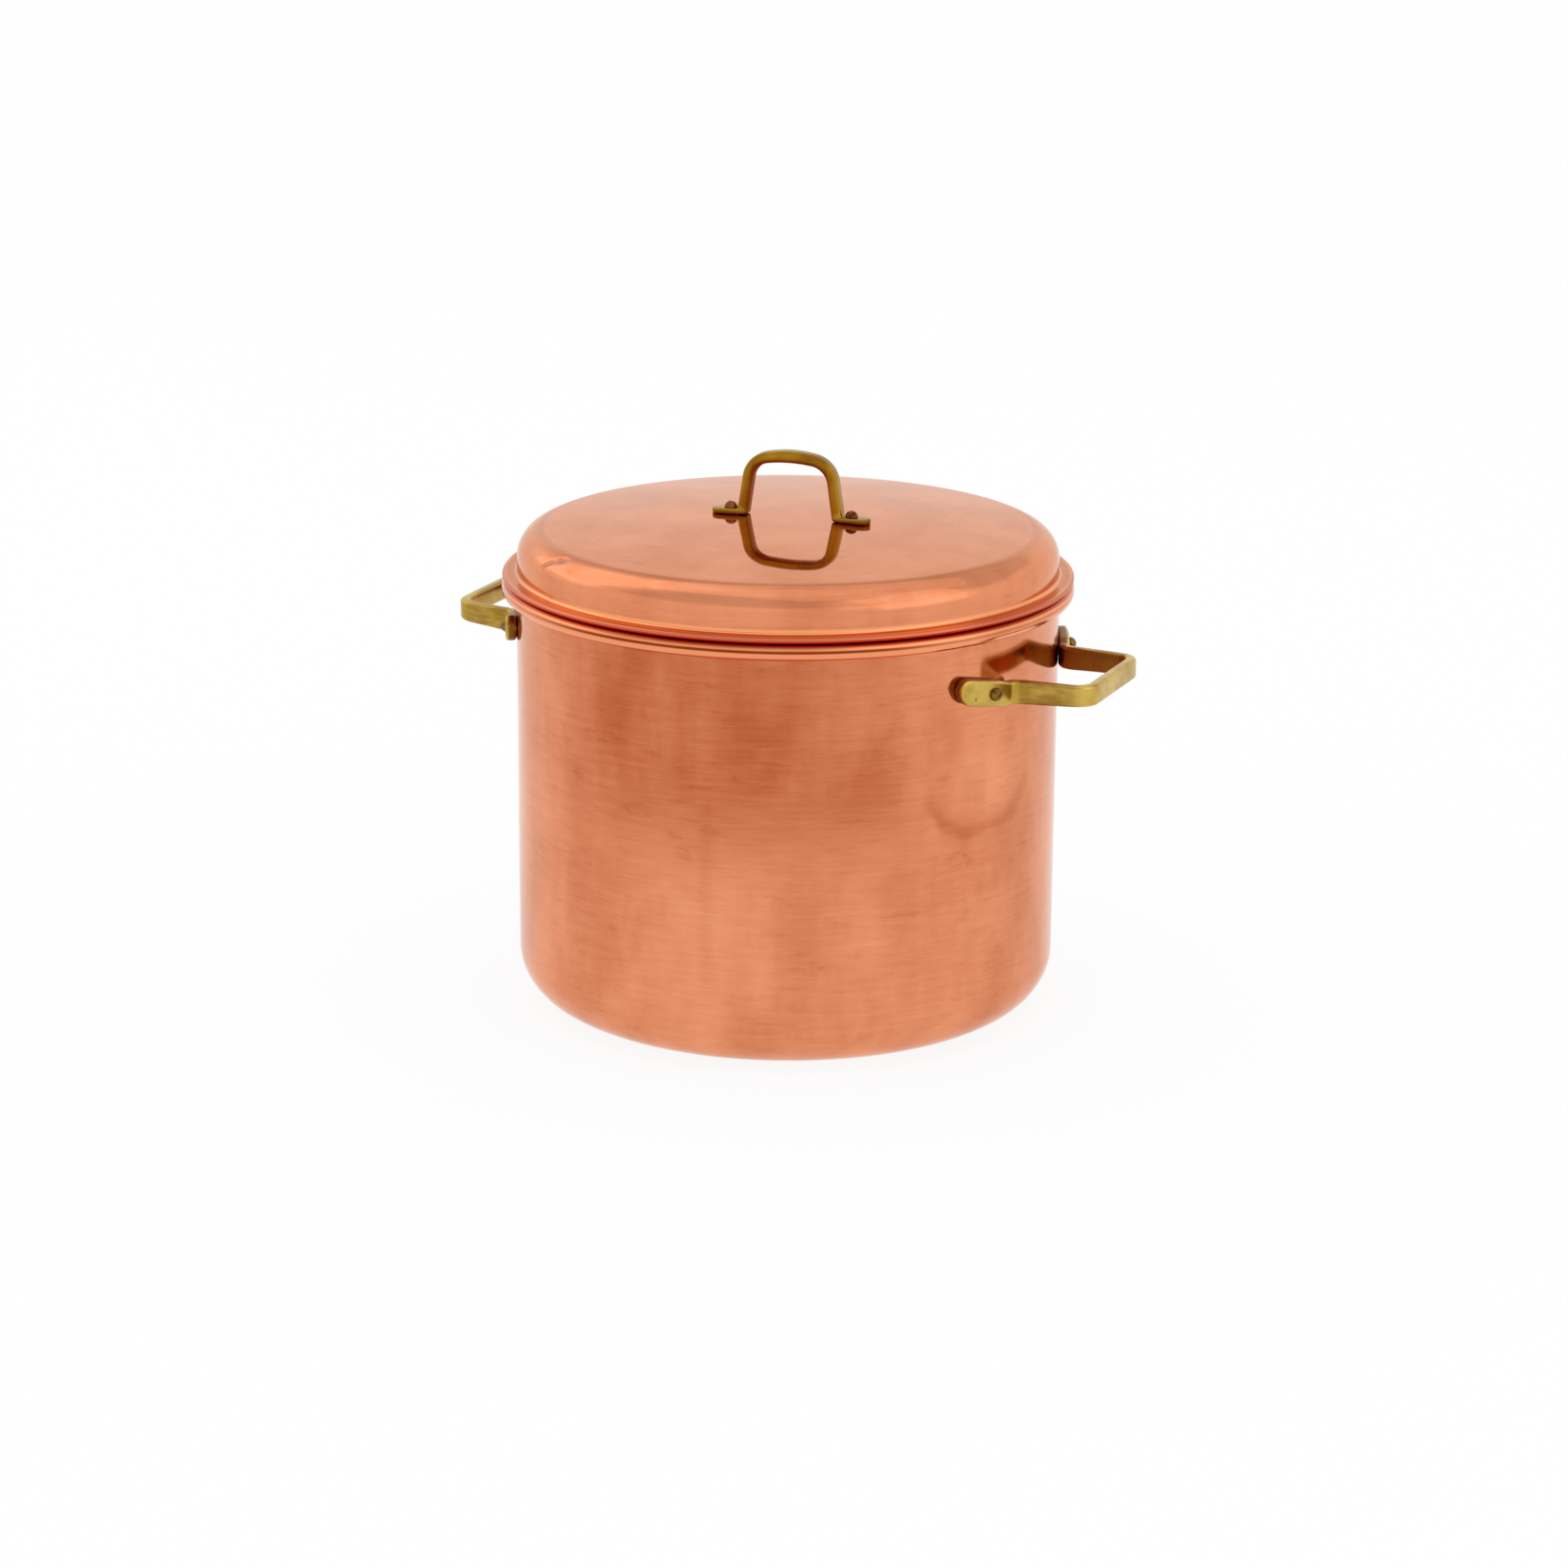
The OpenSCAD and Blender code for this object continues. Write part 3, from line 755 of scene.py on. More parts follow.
BEAD, SEAM = (122.8, 123.6, 130, 131), ((119.6, 120.2, 130, 131), (189.4, 189.9, 192.5, 192.9))
POT_LIGHT_AND_SHADE_RINGS = (
    TintAndLightRing(BEAD, (183.5, 184.2, 187.1, 187.4), (0.95, 0.34, 0.16), 0.8),  # painted highlight on the bead's lower face
    TintAndLightRing(BEAD, (188.5, 188.8, 189.3, 189.7), (0.95, 0.33, 0.15), 0.8),  # painted highlight on its upper face
    TintAndLightRing(BEAD, (187.3, 187.6, 188.3, 188.6), (0.24, 0.035, 0.003), 0.95, 0.8),  # painted dark reflection on the line between, strongest at the front
    TintAndLightRing(*SEAM, (0.50, 0.080, 0.022)),  # painted shade on the rim's top, in the seam under the lid
)
LID_TINT_AND_LIGHT_RINGS = (
    TintAndLightRing((124.9, 125.4, 130, 131), (191.9, 192.3, 195, 196), (0.60, 0.165, 0.080), 0.9),  # darker folded edge of the flange
    TintAndLightRing(*SEAM, (0.55, 0.020, 0.005)),  # painted shade in the seam between lid and rim
    TintAndLightRing((118.9, 119.1, 120.7, 121.3), (194.0, 194.3, 195.6, 196.4), (0.98, 0.38, 0.16), 0.8),  # painted highlight on the bend
    TintAndLightRing((120.5, 121.1, 123.6, 124.6), (193.0, 193.2, 194.3, 194.8), (0.57, 0.16, 0.03), 0.8),  # painted dark reflection where the flange meets the bend
    TintAndLightRing((107.0, 108.4, 109.4, 113.5), (207, 208, 214, 214.5), (0.50, 0.150, 0.055), 0.38),  # painted dark reflection along the shoulder's top
)
LID_DENTS = (
    Crease((-76.5, -90.8, 205.5), (-72.3, -92.1, 208.3), 1.1 * MM, 0.70 * MM),
    Crease((-72.3, -92.1, 208.3), (-67.5, -93.4, 210.2), 1.1 * MM, 0.90 * MM),
    Crease((-66.5, -93.6, 210.6), (-62.0, -94.5, 211.7), 1.7 * MM, 1.40 * MM),
    Crease((-68.6, -98.9, 193.9), (-66.8, -102.4, 193.9), 1.2 * MM, 0.35 * MM),
)


@dataclass(frozen=True)
class Clouded(Finish):
    """A metal with clouds of another colour, and fine specks in its relief."""

    name: str
    plain: Colour
    cloud: Colour
    rough: float
    depth: float  # of the relief
    clouds: Grain
    limits: Ramp  # values of the clouds' noise where a cloud starts and is full
    specks: Grain
    cloud_relief: float  # share of the clouds in the relief
    rough_spread: float = 0.2  # how much rougher a cloud is

    def surface(self, nodes: Nodes) -> Value:
        """The metal's shader.

        Args:
            nodes: The material's tree.

        Returns:
            The shader.
        """
        point = self.place(nodes)
        clouds = self.clouds.read(nodes, point)
        colour = nodes.blend(self.limits.of(clouds), self.plain, self.cloud)
        relief = clouds * self.cloud_relief + self.specks.read(nodes, point) * (1.0 - self.cloud_relief)
        rough = self.rough + (clouds - 0.5) * self.rough_spread
        return self.metal(nodes, colour, rough, relief, self.depth)


@dataclass(frozen=True)
class Steel(Finish):
    """Dull steel of the wire in the rim."""

    name: str = "wire_steel"
    dark: Colour = (0.2, 0.18, 0.16)
    pale: Colour = (0.36, 0.36, 0.37)
    rough: float = 0.45
    rough_spread: float = 0.2
    depth: float = 0.0001  # of the relief
    drawn: Grain = Grain(300.0, 3.0)

    def surface(self, nodes: Nodes) -> Value:
        """The wire's shader.

        Args:
            nodes: The material's tree.

        Returns:
            The shader.
        """
        drawn = self.drawn.read(nodes, self.place(nodes))
        rough = self.rough + (drawn - 0.5) * self.rough_spread
        return self.metal(nodes, nodes.blend(drawn, self.dark, self.pale), rough, drawn, self.depth)


@dataclass(frozen=True)
class Brass(Finish):
    """Cast brass that has been filed smooth, with brown tarnish where it isn't rubbed."""

    name: str = "tarnished_brass"
    gold: Colour = (0.64, 0.44, 0.098)  # the rubbed faces
    olive: Colour = (0.42, 0.265, 0.040)  # the dull faces
    brown: Colour = (0.19, 0.058, 0.005)  # the brown of the spots and of the darker places
    rough: float = 0.24
    rough_spread: float = 0.12  # how much clouds and tarnish change it
    pits: float = 0.00012  # depth of the relief
    clouds: Grain = Grain(55.0, 3.0, 0.6)
    files: Grain = Grain(900.0, 2.0, 0.6)
    spots: Grain = Grain(190.0)
    rubbed: Ramp = Ramp(0.36, 0.64)  # values of the clouds between which olive turns to gold
    spotted: Ramp = Ramp(0.68, 0.8, 0.7)  # tarnish in the spots
    pitted: Ramp = Ramp(0.66, 0.8, 0.5)  # relief of the spots, the clouds and the file marks
    cloud_relief: float = 0.5
    file_relief: float = 0.12
    ragged: float = 0.3  # how much the clouds change the brown

    def brown_mask(self, nodes: Nodes, point: Value) -> Value:
        """Where the tarnish is left, from 0 to 1."""
        raise NotImplementedError

    def surface(self, nodes: Nodes) -> Value:
        """The brass's shader.

        Args:
            nodes: The material's tree.

        Returns:
            The shader.
        """
        point = self.place(nodes)
        clouds, files, spots = (grain.read(nodes, point) for grain in (self.clouds, self.files, self.spots))
        colour = nodes.blend(self.rubbed.of(clouds), self.olive, self.gold)
        tinting = self.brown_mask(nodes, point) + (clouds - 0.5) * self.ragged
        tinting = tinting.at_least(self.spotted.of(spots))
        colour = nodes.blend(tinting, colour, self.brown)
        rough = self.rough + (clouds - 0.5 + tinting) * self.rough_spread
        height = files * self.file_relief + clouds * self.cloud_relief - self.pitted.of(spots)
        return self.metal(nodes, colour, rough, height, self.pits)


@dataclass(frozen=True)
class LoopBrass(Brass):
    """Brass of the side handles: dark at the wall and inside the loop, dull along the legs."""

    leg: float = 31.2 * MM  # distance of a leg's middle from the handle's middle, at the leg's start
    leg_start: float = 123 * MM  # distance of that start from the middle of the pot
    splay: float = 0.052  # how much nearer it comes on its way out
    grip: float = 150.1 * MM  # mean distance of the grips' middles from the pot's axis
    uneven: float = 2.2 * MM  # how much further out the right-hand grip is than that
    at_wall: Ramp = Ramp(124.4 * MM, 123.0 * MM, 0.9)  # radii of the darker brown at the wall
    beside_leg: Ramp = Ramp(1.2 * MM, 1.9 * MM, 0.85)  # distances from a leg's middle, inwards
    grip_face: Ramp = Ramp(1.2 * MM, 1.9 * MM, 0.12)  # distances from the grip's middle, inwards
    in_loop: Ramp = Ramp(3 * MM, 5 * MM, 0.80)  # the same, past the grip
    off_wall: Ramp = Ramp(125.6 * MM, 128 * MM)  # radii where the legs get dull
    off_grip: Ramp = Ramp(2 * MM, 8 * MM, 0.60)  # distances from the grip where they get dull
    brushed: Grain = Grain(420.0, stretch=(0.25, 1.0, 1.0))
    dull: Ramp = Ramp(0.35, 0.65, 0.5)  # values of the brushed noise, and its share in the dullness

    def brown_mask(self, nodes: Nodes, point: Value) -> Value:
        """Where the tarnish is left.

        Args:
            nodes: The material's tree.
            point: The point.

        Returns:
            The tarnish, from 0 to 1.
        """
        x, y, _ = nodes.parts(point)
        radius = (x * x + y * y + AXIS).root()
        out = abs(x)
        beside = self.beside_leg.of(self.leg - (out - self.leg_start) * self.splay - abs(y))
        within = self.grip + x.sign() * self.uneven - out
        inner = beside * (self.grip_face.of(within) + self.in_loop.of(within))
        dull = self.dull.of(self.brushed.read(nodes, point)) + (1.0 - self.dull.weight)
        dull = dull * self.off_wall.of(radius) * self.off_grip.of(within)
        return self.at_wall.of(radius).at_least(inner).at_least(dull)


@dataclass(frozen=True)
class ArchBrass(Brass):
    """Brass of the lid's handle: dark inside the arch and round the feet."""

    turn: float = 4.5  # angle that the lid is turned by
    shift: float = 1.1 * MM  # how far the arch sits off the middle of the lid
    leg: float = 22.2 * MM  # distance of a leg's middle from the arch's middle at the crown
    lean: float = 0.15  # how much nearer it comes on its way up
    top: float = 244.6 * MM  # height of the middle of the arch's top
    bow: float = 0.12  # twice the radius of its top
    crown: float = 217.4 * MM  # height of the crown
    within: Ramp = Ramp(1.0 * MM, 1.9 * MM, 0.45)  # distances from a leg's middle, inwards
    below: Ramp = Ramp(1.1 * MM, 2.0 * MM)  # distances from the top's middle, downwards
    low: Ramp = Ramp(2.4 * MM, 1 * MM, 0.6)  # heights above the crown

    def brown_mask(self, nodes: Nodes, point: Value) -> Value:
        """Where the tarnish is left.

        Args:
            nodes: The material's tree.
            point: The point.

        Returns:
            The tarnish, from 0 to 1.
        """
        x, y, z = nodes.parts(point)
        a = math.radians(self.turn)
        across = abs(x * math.cos(a) + y * math.sin(a) - self.shift)
        above = z - self.crown
        within = self.within.of(self.leg - above * self.lean - across)
        below = self.below.of(self.top - across * across / self.bow - z)
        return (within * below).at_least(self.low.of(above))


# Pieces of sheet


class Body(Enum):
    """The packed bodies that pieces ride on."""

    POT = "pot"
    LID = "lid"


def revolved(
    name: str, points: list[Point], outside: int, segments: int, waves: Place, outer: Finish, inner: Finish
) -> bpy.types.Object:
    """Turns an outline round the Z axis.

    Args:
        name: Name of the piece.
        points: The outline, in radius and height.
        outside: How many of its points are outside.
        segments: Facets of a full turn.
        waves: How far the sheet wanders inwards, the distance between waves, and their start.
        outer: Finish of the outside.
        inner: Finish of the inside.

    Returns:
        The piece.
    """
    values = {"Rows": len(points), "Segments": segments, "Outer Rows": outside}
    values |= zip(("Waviness", "Wave Size", "Seed"), waves)
    values |= {"Outer Finish": outer.material(), "Inner Finish": inner.material()}
    return grown(name, line_mesh(name, [Vector((r, 0.0, z)) for r, z in points]), revolved_tree(), values)


@dataclass
class SheetPiece:
    """A piece of sheet that is round about the Z axis."""

    name: str
    body: Body
    node: str  # the packed node that it stands for
    segments: int = 288
    waviness: float = 0.0004  # how far the sheet wanders inwards
    wave_size: float = 0.045
    seed: float = 3.0
    sheet: float = 1.2 * MM

    def outline(self) -> tuple[list[Point], int]:
        """The outline in (radius, height), and how many of its points are outside."""
        raise NotImplementedError

    def build(self, outer: Finish, inner: Finish) -> bpy.types.Object:
        """Makes the piece.

        Args:
            outer: Finish of the outside.
            inner: Finish of the inside.

        Returns:
            The piece, riding on its body.
        """
        points, outside = self.outline()
        waves = (self.waviness, self.wave_size, self.seed)
        piece = revolved(self.name, points, outside, self.segments, waves, outer, inner)
        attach(piece, self.body.value)
        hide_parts(self.node)
        return piece


@dataclass
class PotShell(SheetPiece):
    """The pot's deep body, with its rim rolled round a wire."""

    name: str = "pot_shell"
    body: Body = Body.POT
    node: str = "pot_body"
    radius: float = 120 * MM  # outside of the wall
    height: float = 191.3 * MM  # top of the rim
    corner: float = 23 * MM  # outer radius of the curve between base and wall
    wire: float = 2.6 * MM  # radius of the wire in the rim
    seam: float = 0.05 * MM  # gap between the rolled edge and the wall
    base_steps: int = 8
    corner_steps: int = 20
    wall_steps: int = 26
    wire_steps: int = 24
    curl_steps: int = 40

    def outline(self) -> tuple[list[Point], int]:
        """Draws the base, the wall and the rolled rim, and then the inside.

        Returns:
            The outline in (radius, height), and how many of its points are outside.
        """
        curl = self.wire + self.sheet
        heart = (self.radius + self.wire, self.height - curl)
        stop = -math.degrees(math.acos((self.seam - self.wire) / curl))
        knee = (self.radius - self.corner, self.corner)
        base = straight((0.0, 0.0), (knee[0], 0.0), self.base_steps)
        wall = straight((self.radius, self.corner), (self.radius, heart[1]), self.wall_steps)
        outer = [(0.0, 0.0), *base, *arc(knee, self.corner, -90, 0, self.corner_steps), *wall]
        outer += arc(heart, self.wire, 180, stop, self.wire_steps)
        outer += arc(heart, curl, stop, 180, self.curl_steps)
        inner_r = self.radius - self.sheet
        inner = straight((inner_r, heart[1]), (inner_r, self.corner), self.wall_steps)
        inner += arc(knee, self.corner - self.sheet, 0, -90, self.corner_steps)
        inner += [(r, self.sheet) for r, _ in reversed(base)] + [(0.0, self.sheet)]
        return outer + inner, len(outer)


@dataclass
class LidSheet(SheetPiece):
    """The lid's crown, shoulder, side and flange, with the flange's edge folded back."""

    name: str = "lid_sheet"
    body: Body = Body.LID
    node: str = "lid"
    seed: float = 11.0
    seat: float = 191.5 * MM  # height of the flange's underside
    rise: float = 25.9 * MM  # height of the crown's top above the seat
    side: float = 119.6 * MM  # outer radius of the upright side
    flange: float = 126.2 * MM  # outer radius of the flange
    shoulder: float = 12 * MM  # radius of the curve between side and crown
    crown: float = 1340 * MM  # radius of the shallow crown
    bend: float = 1.5 * MM  # inner radius of the bend between flange and side
    hem: float = 4.4 * MM  # width of the folded edge
    crown_steps: int = 24
    shoulder_steps: int = 20
    side_steps: int = 4
    bend_steps: int = 8
    flange_steps: int = 3
    hem_steps: int = 16

    def crown_centre(self) -> Point:
        """Centre of the crown's arc."""
        return 0.0, self.seat + self.rise - self.crown

    def shoulder_centre(self) -> tuple[Point, float]:
        """Finds where the shoulder meets the crown.

        Returns:
            Centre of the shoulder's arc, and the angle that the crown spans.
        """
        reach = self.crown - self.shoulder
        span = math.asin((self.side - self.shoulder) / reach)
        return (reach * math.sin(span), self.crown_centre()[1] + reach * math.cos(span)), math.degrees(span)

    def outline(self) -> tuple[list[Point], int]:
        """Draws the crown, the side and the flange, and then the inside.

        Returns:
            The outline in (radius, height), and how many of its points are outside.
        """
        heart = self.crown_centre()
        knee, span = self.shoulder_centre()
        turn = (self.side + self.bend, self.seat + 2 * self.sheet + self.bend)
        edge = (self.flange - self.sheet, self.seat + self.sheet)
        top = edge[1] + self.sheet
        outer = arc(heart, self.crown, 90, 90 - span, self.crown_steps)
        outer += arc(knee, self.shoulder, 90 - span, 0, self.shoulder_steps)
        outer += straight((self.side, knee[1]), (self.side, turn[1]), self.side_steps)
        outer += arc(turn, self.bend, 180, 270, self.bend_steps)
        outer += straight((turn[0], top), (edge[0], top), self.flange_steps)
        outer += arc(edge, self.sheet, 90, -90, self.hem_steps)
        hem = self.flange - self.hem
        inner = [(hem, self.seat), (hem, self.seat + self.sheet)]
        inner += arc(turn, self.bend + self.sheet, 270, 180, self.bend_steps)
        inner += arc(knee, self.shoulder - self.sheet, 0, 90 - span, self.shoulder_steps)
        inner += arc(heart, self.crown - self.sheet, 90 - span, 90, self.crown_steps)
        return outer + inner, len(outer)


@dataclass
class LidCollar(SheetPiece):
    """The ring inside the lid that drops into the pot's mouth."""

    name: str = "lid_collar_ring"
    body: Body = Body.LID
    node: str = "lid_collar"
    waviness: float = 0.0
    low: float = 183.2 * MM  # its lower edge
    high: float = 201 * MM  # its upper edge
    outer: float = 118.4 * MM  # outer radius
    lead: float = 0.5 * MM  # rounding of the lower edge outside
    bevel: float = 0.3 * MM  # height of the bevel inside
    lead_steps: int = 5

    def outline(self) -> tuple[list[Point], int]:
        """Draws the ring's outside and then its inside.

        Returns:
            The outline in (radius, height), and how many of its points are outside.
        """
        inner_r = self.outer - self.sheet
        toe = (inner_r + self.lead, self.low)
        heart = (self.outer - self.lead, self.low + self.lead)
        outside = [toe, *arc(heart, self.lead, -90, 0, self.lead_steps)]
        outside += [(self.outer, self.high), (inner_r, self.high)]
        return [*outside, (inner_r, self.low + self.bevel), toe], len(outside)


# Handles


@dataclass
class Station:
    """A stop on a bar's path, in the bar's own plane."""

    first: float  # distance along the plane's first axis
    second: float  # distance along its second axis
    heading: float  # direction of the path, from the first axis
    thick: float  # thickness of the bar in the plane
    wide: float  # width of the bar across the plane
    lift: float = 0.0  # distance off the plane


def bend_reach(start: float, stop: float, radius: float) -> Point:
    """How far a bend from one heading to another leads.

    Args:
        start: Heading at its start.
        stop: Heading at its end.
        radius: Its radius.

    Returns:
        The way from its start to its end.
    """
    size = radius if stop > start else -radius
    a, b = math.radians(start), math.radians(stop)
    return size * (math.sin(b) - math.sin(a)), size * (math.cos(a) - math.cos(b))


def bend(
    at: Point, start: float, stop: float, radius: float, size: Point, steps: int = 14
) -> list[Station]:
    """Stations along a bend, after its first.

    Args:
        at: Where the bend starts.
        start: Heading at its start.
        stop: Heading at its end.
        radius: Radius of the bar's middle.
        size: Thickness and width of the bar.
        steps: Number of stations.

    Returns:
        The stations.
    """
    made = []
    for i in range(1, steps + 1):
        heading = start + (stop - start) * i / steps
        reach = bend_reach(start, heading, radius)
        made.append(Station(at[0] + reach[0], at[1] + reach[1], heading, *size))
    return made


@dataclass
class Bar:
    """A bent bar with round edges."""

    name: str
    body: Body
    node: str  # the packed node that it stands for
    edge: float = 1.6 * MM  # radius of its long edges
    edge_steps: int = 6
    forging: float = 0.25 * MM  # how uneven its faces are
    seed: float = 1.0

    def halves(self) -> tuple[list[Station], list[Station]]:
        """The half on the negative side of the first axis, drawn mirrored, and the other half."""
        raise NotImplementedError

    def frame(self) -> Matrix:
        """The plane's axes and origin: the columns are first, second and across."""
        raise NotImplementedError

    def build(self, finish: Finish) -> bpy.types.Object:
        """Makes the piece.

        Args:
            finish: Its finish.

        Returns:
            The piece, riding on its body.
        """
        mirrored, plain = self.halves()
        rear = reversed(mirrored[1:])
        stations = [Station(-s.first, s.second, -s.heading, s.thick, s.wide, s.lift) for s in rear] + plain
        pose = self.frame()
        turn = pose.to_3x3()
        source = line_mesh(self.name, [pose @ Vector((s.first, s.second, s.lift)) for s in stations])
        headings = [math.radians(s.heading) for s in stations]
        set_attribute(source, "across", [turn @ Vector((math.sin(h), -math.cos(h), 0.0)) for h in headings])
        set_attribute(source, "up", [turn @ Vector((0.0, 0.0, 1.0)) for _ in stations])
        set_attribute(source, "thick", [s.thick for s in stations])
        set_attribute(source, "wide", [s.wide for s in stations])
        values = {"Rows": len(stations), "Edge Steps": self.edge_steps, "Edge Radius": self.edge}
        values |= {"Forging": self.forging, "Seed": self.seed, "Finish": finish.material()}
        piece = grown(self.name, source, bar_tree(), values)
        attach(piece, self.body.value)
        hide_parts(self.node)
        return piece


class Side(Enum):
    """The two sides of the pot, by the direction that a handle stands out in."""

    RIGHT = 1
    LEFT = -1


@dataclass
class LoopHandle(Bar):
    """A handle on the wall: grip, two legs, and two feet that lie on the wall."""

    side: Side = Side.RIGHT
    height: float = 161 * MM  # of its middle
    reach: float = 34.8 * MM  # from the wall to the outer face of the grip
    grip_lift: float = -1.1 * MM  # of the grip above the middle of the feet
    roll: float = 0.0  # angle by which it rises towards the back
    front_tilt: float = 11.0  # angle by which the front foot rises towards its tip
    rear_tilt: float = 3.0  # the same for the rear foot
    rear_drop: float = 1 * MM  # how far the rear foot sits below the handle's middle
    rear_rivet_lift: float = 1.1 * MM  # how far that foot's rivet sits above it
    bar: Point = (5 * MM, 9.4 * MM)  # thickness and height along the grip
    leg_height: float = 10.4 * MM  # height of the bar where a leg meets its foot
    foot: Point = (5 * MM, 11.8 * MM)  # thickness and height
    grip_bend: float = 7.5 * MM  # middle radius of the bends at the ends of the grip
    splay: float = 3.0  # angle by which each leg splays on its way to the wall
    foot_bend: float = 6.5 * MM  # middle radius of the bend from leg to foot
    foot_start: float = 17.0  # angles round the pot: where a foot starts
    foot_blend: float = 2.8  # stretch on which the leg widens to the foot
    foot_rivet: float = 21.5  # where its rivet is
    foot_end: float = 30.5  # where it ends
    wall: float = 120 * MM  # outer radius of the wall
    play: float = 0.02 * MM  # gap between the wall and a foot
    grip_steps: int = 4
    leg_steps: int = 6

    def frame(self) -> Matrix:
        """The plane's axes and origin: the columns are first, second and across."""
        out = float(self.side.value)
        return Matrix(((0, out, 0, 0), (-out, 0, 0, 0), (0, 0, 1, self.height), (0, 0, 0, 1)))

    def foot_station(self, angle: float, size: Point, tilt: float, drop: float) -> Station:
        """Station of a foot at an angle round the pot, with the inner face on the wall.

        Args:
            angle: The angle.
            size: Thickness and height.
            tilt: Angle by which the foot rises towards its tip.
            drop: How far the foot sits below the middle of the handle.

        Returns:
            The station.
        """
        r = self.wall + self.play + size[0] / 2
        rise = self.wall * math.radians(angle - self.foot_rivet) * math.tan(math.radians(tilt))
        a = math.radians(angle)
        return Station(r * math.sin(a), r * math.cos(a), -angle, *size, rise - drop)

    def foot_half(self, tilt: float, drop: float) -> list[Station]:
        """The stations of a foot: where it widens, its straight stretch and its round tip.

        Args:
            tilt: Angle by which it rises towards its tip.
            drop: How far it sits below the middle of the handle.

        Returns:
            The stations.
        """
        thick, tall = self.foot
        reach = self.wall + thick / 2
        tip = self.foot_end - math.degrees(math.asin(tall / 2 / reach))
        first = self.foot_start + self.foot_blend
        leg = (self.bar[0], self.leg_height)
        shares = [i / STRETCH_STEPS for i in range(1, STRETCH_STEPS + 1)]
        stops = []
        for share in shares:
            size = [b + (f - b) * share for b, f in zip(leg, self.foot)]
            stops.append((self.foot_start + self.foot_blend * share, size))
        stops += [(first + (tip - first) * share, self.foot) for share in shares]
        for turn in TIP_ANGLES:
            bow = math.degrees(math.asin(tall / 2 * math.sin(math.radians(turn)) / reach))
            stops.append((tip + bow, (thick, tall * math.cos(math.radians(turn)))))
        return [self.foot_station(angle, size, tilt, drop) for angle, size in stops]

    def half(self, tilt: float, drop: float) -> list[Station]:
        """Half of the handle, from the middle of the grip to the tip of a foot.

        Args:
            tilt: Angle by which the foot rises towards its tip.
            drop: How far the foot sits below the middle of the handle.

        Returns:
            The stations.
        """
        thick, tall = self.bar
        heading = self.splay - 90.0
        grip = self.wall + self.reach - thick / 2
        at_wall = polar(self.wall + thick / 2, 90.0 - self.foot_start)
        foot_turn = bend_reach(heading, -self.foot_start, self.foot_bend)
        grip_turn = bend_reach(0.0, heading, self.grip_bend)
        lean = math.radians(self.splay)
        run = (grip + grip_turn[1] + foot_turn[1] - at_wall[1]) / math.cos(lean)
        leg_end = minus(at_wall, foot_turn)
        grip_end = minus(minus(leg_end, (run * math.sin(lean), -run * math.cos(lean))), grip_turn)
        shares = [i / self.grip_steps for i in range(self.grip_steps + 1)]
        loop = [Station(grip_end[0] * share, grip, 0.0, *self.bar) for share in shares]
        loop += bend(grip_end, 0.0, heading, self.grip_bend, self.bar)
        start = (loop[-1].first, loop[-1].second)
        leg = [*straight(start, leg_end, self.leg_steps), leg_end]
        for i, place in enumerate(leg, 1):
            loop.append(Station(*place, heading, thick, tall + (self.leg_height - tall) / len(leg) * i))
        loop += bend(leg_end, heading, -self.foot_start, self.foot_bend, (thick, self.leg_height))
        low = self.foot_station(self.foot_start, self.bar, tilt, drop).lift
        climb = (self.grip_lift - low) / (grip - at_wall[1])
        for s in loop:
            s.lift = low + climb * (s.second - at_wall[1])
        return loop + self.foot_half(tilt, drop)

    def halves(self) -> tuple[list[Station], list[Station]]:
        """Draws the front and the rear half, rolled about the handle's middle.

        Returns:
            The half on the negative side of the first axis, drawn mirrored, and the other half.
        """
        front, rear = self.half(self.front_tilt, 0.0), self.half(self.rear_tilt, self.rear_drop)
        for stations, end in ((front, -1), (rear, 1)):
            for s in stations:
                s.lift += end * s.first * math.tan(math.radians(self.roll))
        return (rear, front) if self.side is Side.RIGHT else (front, rear)


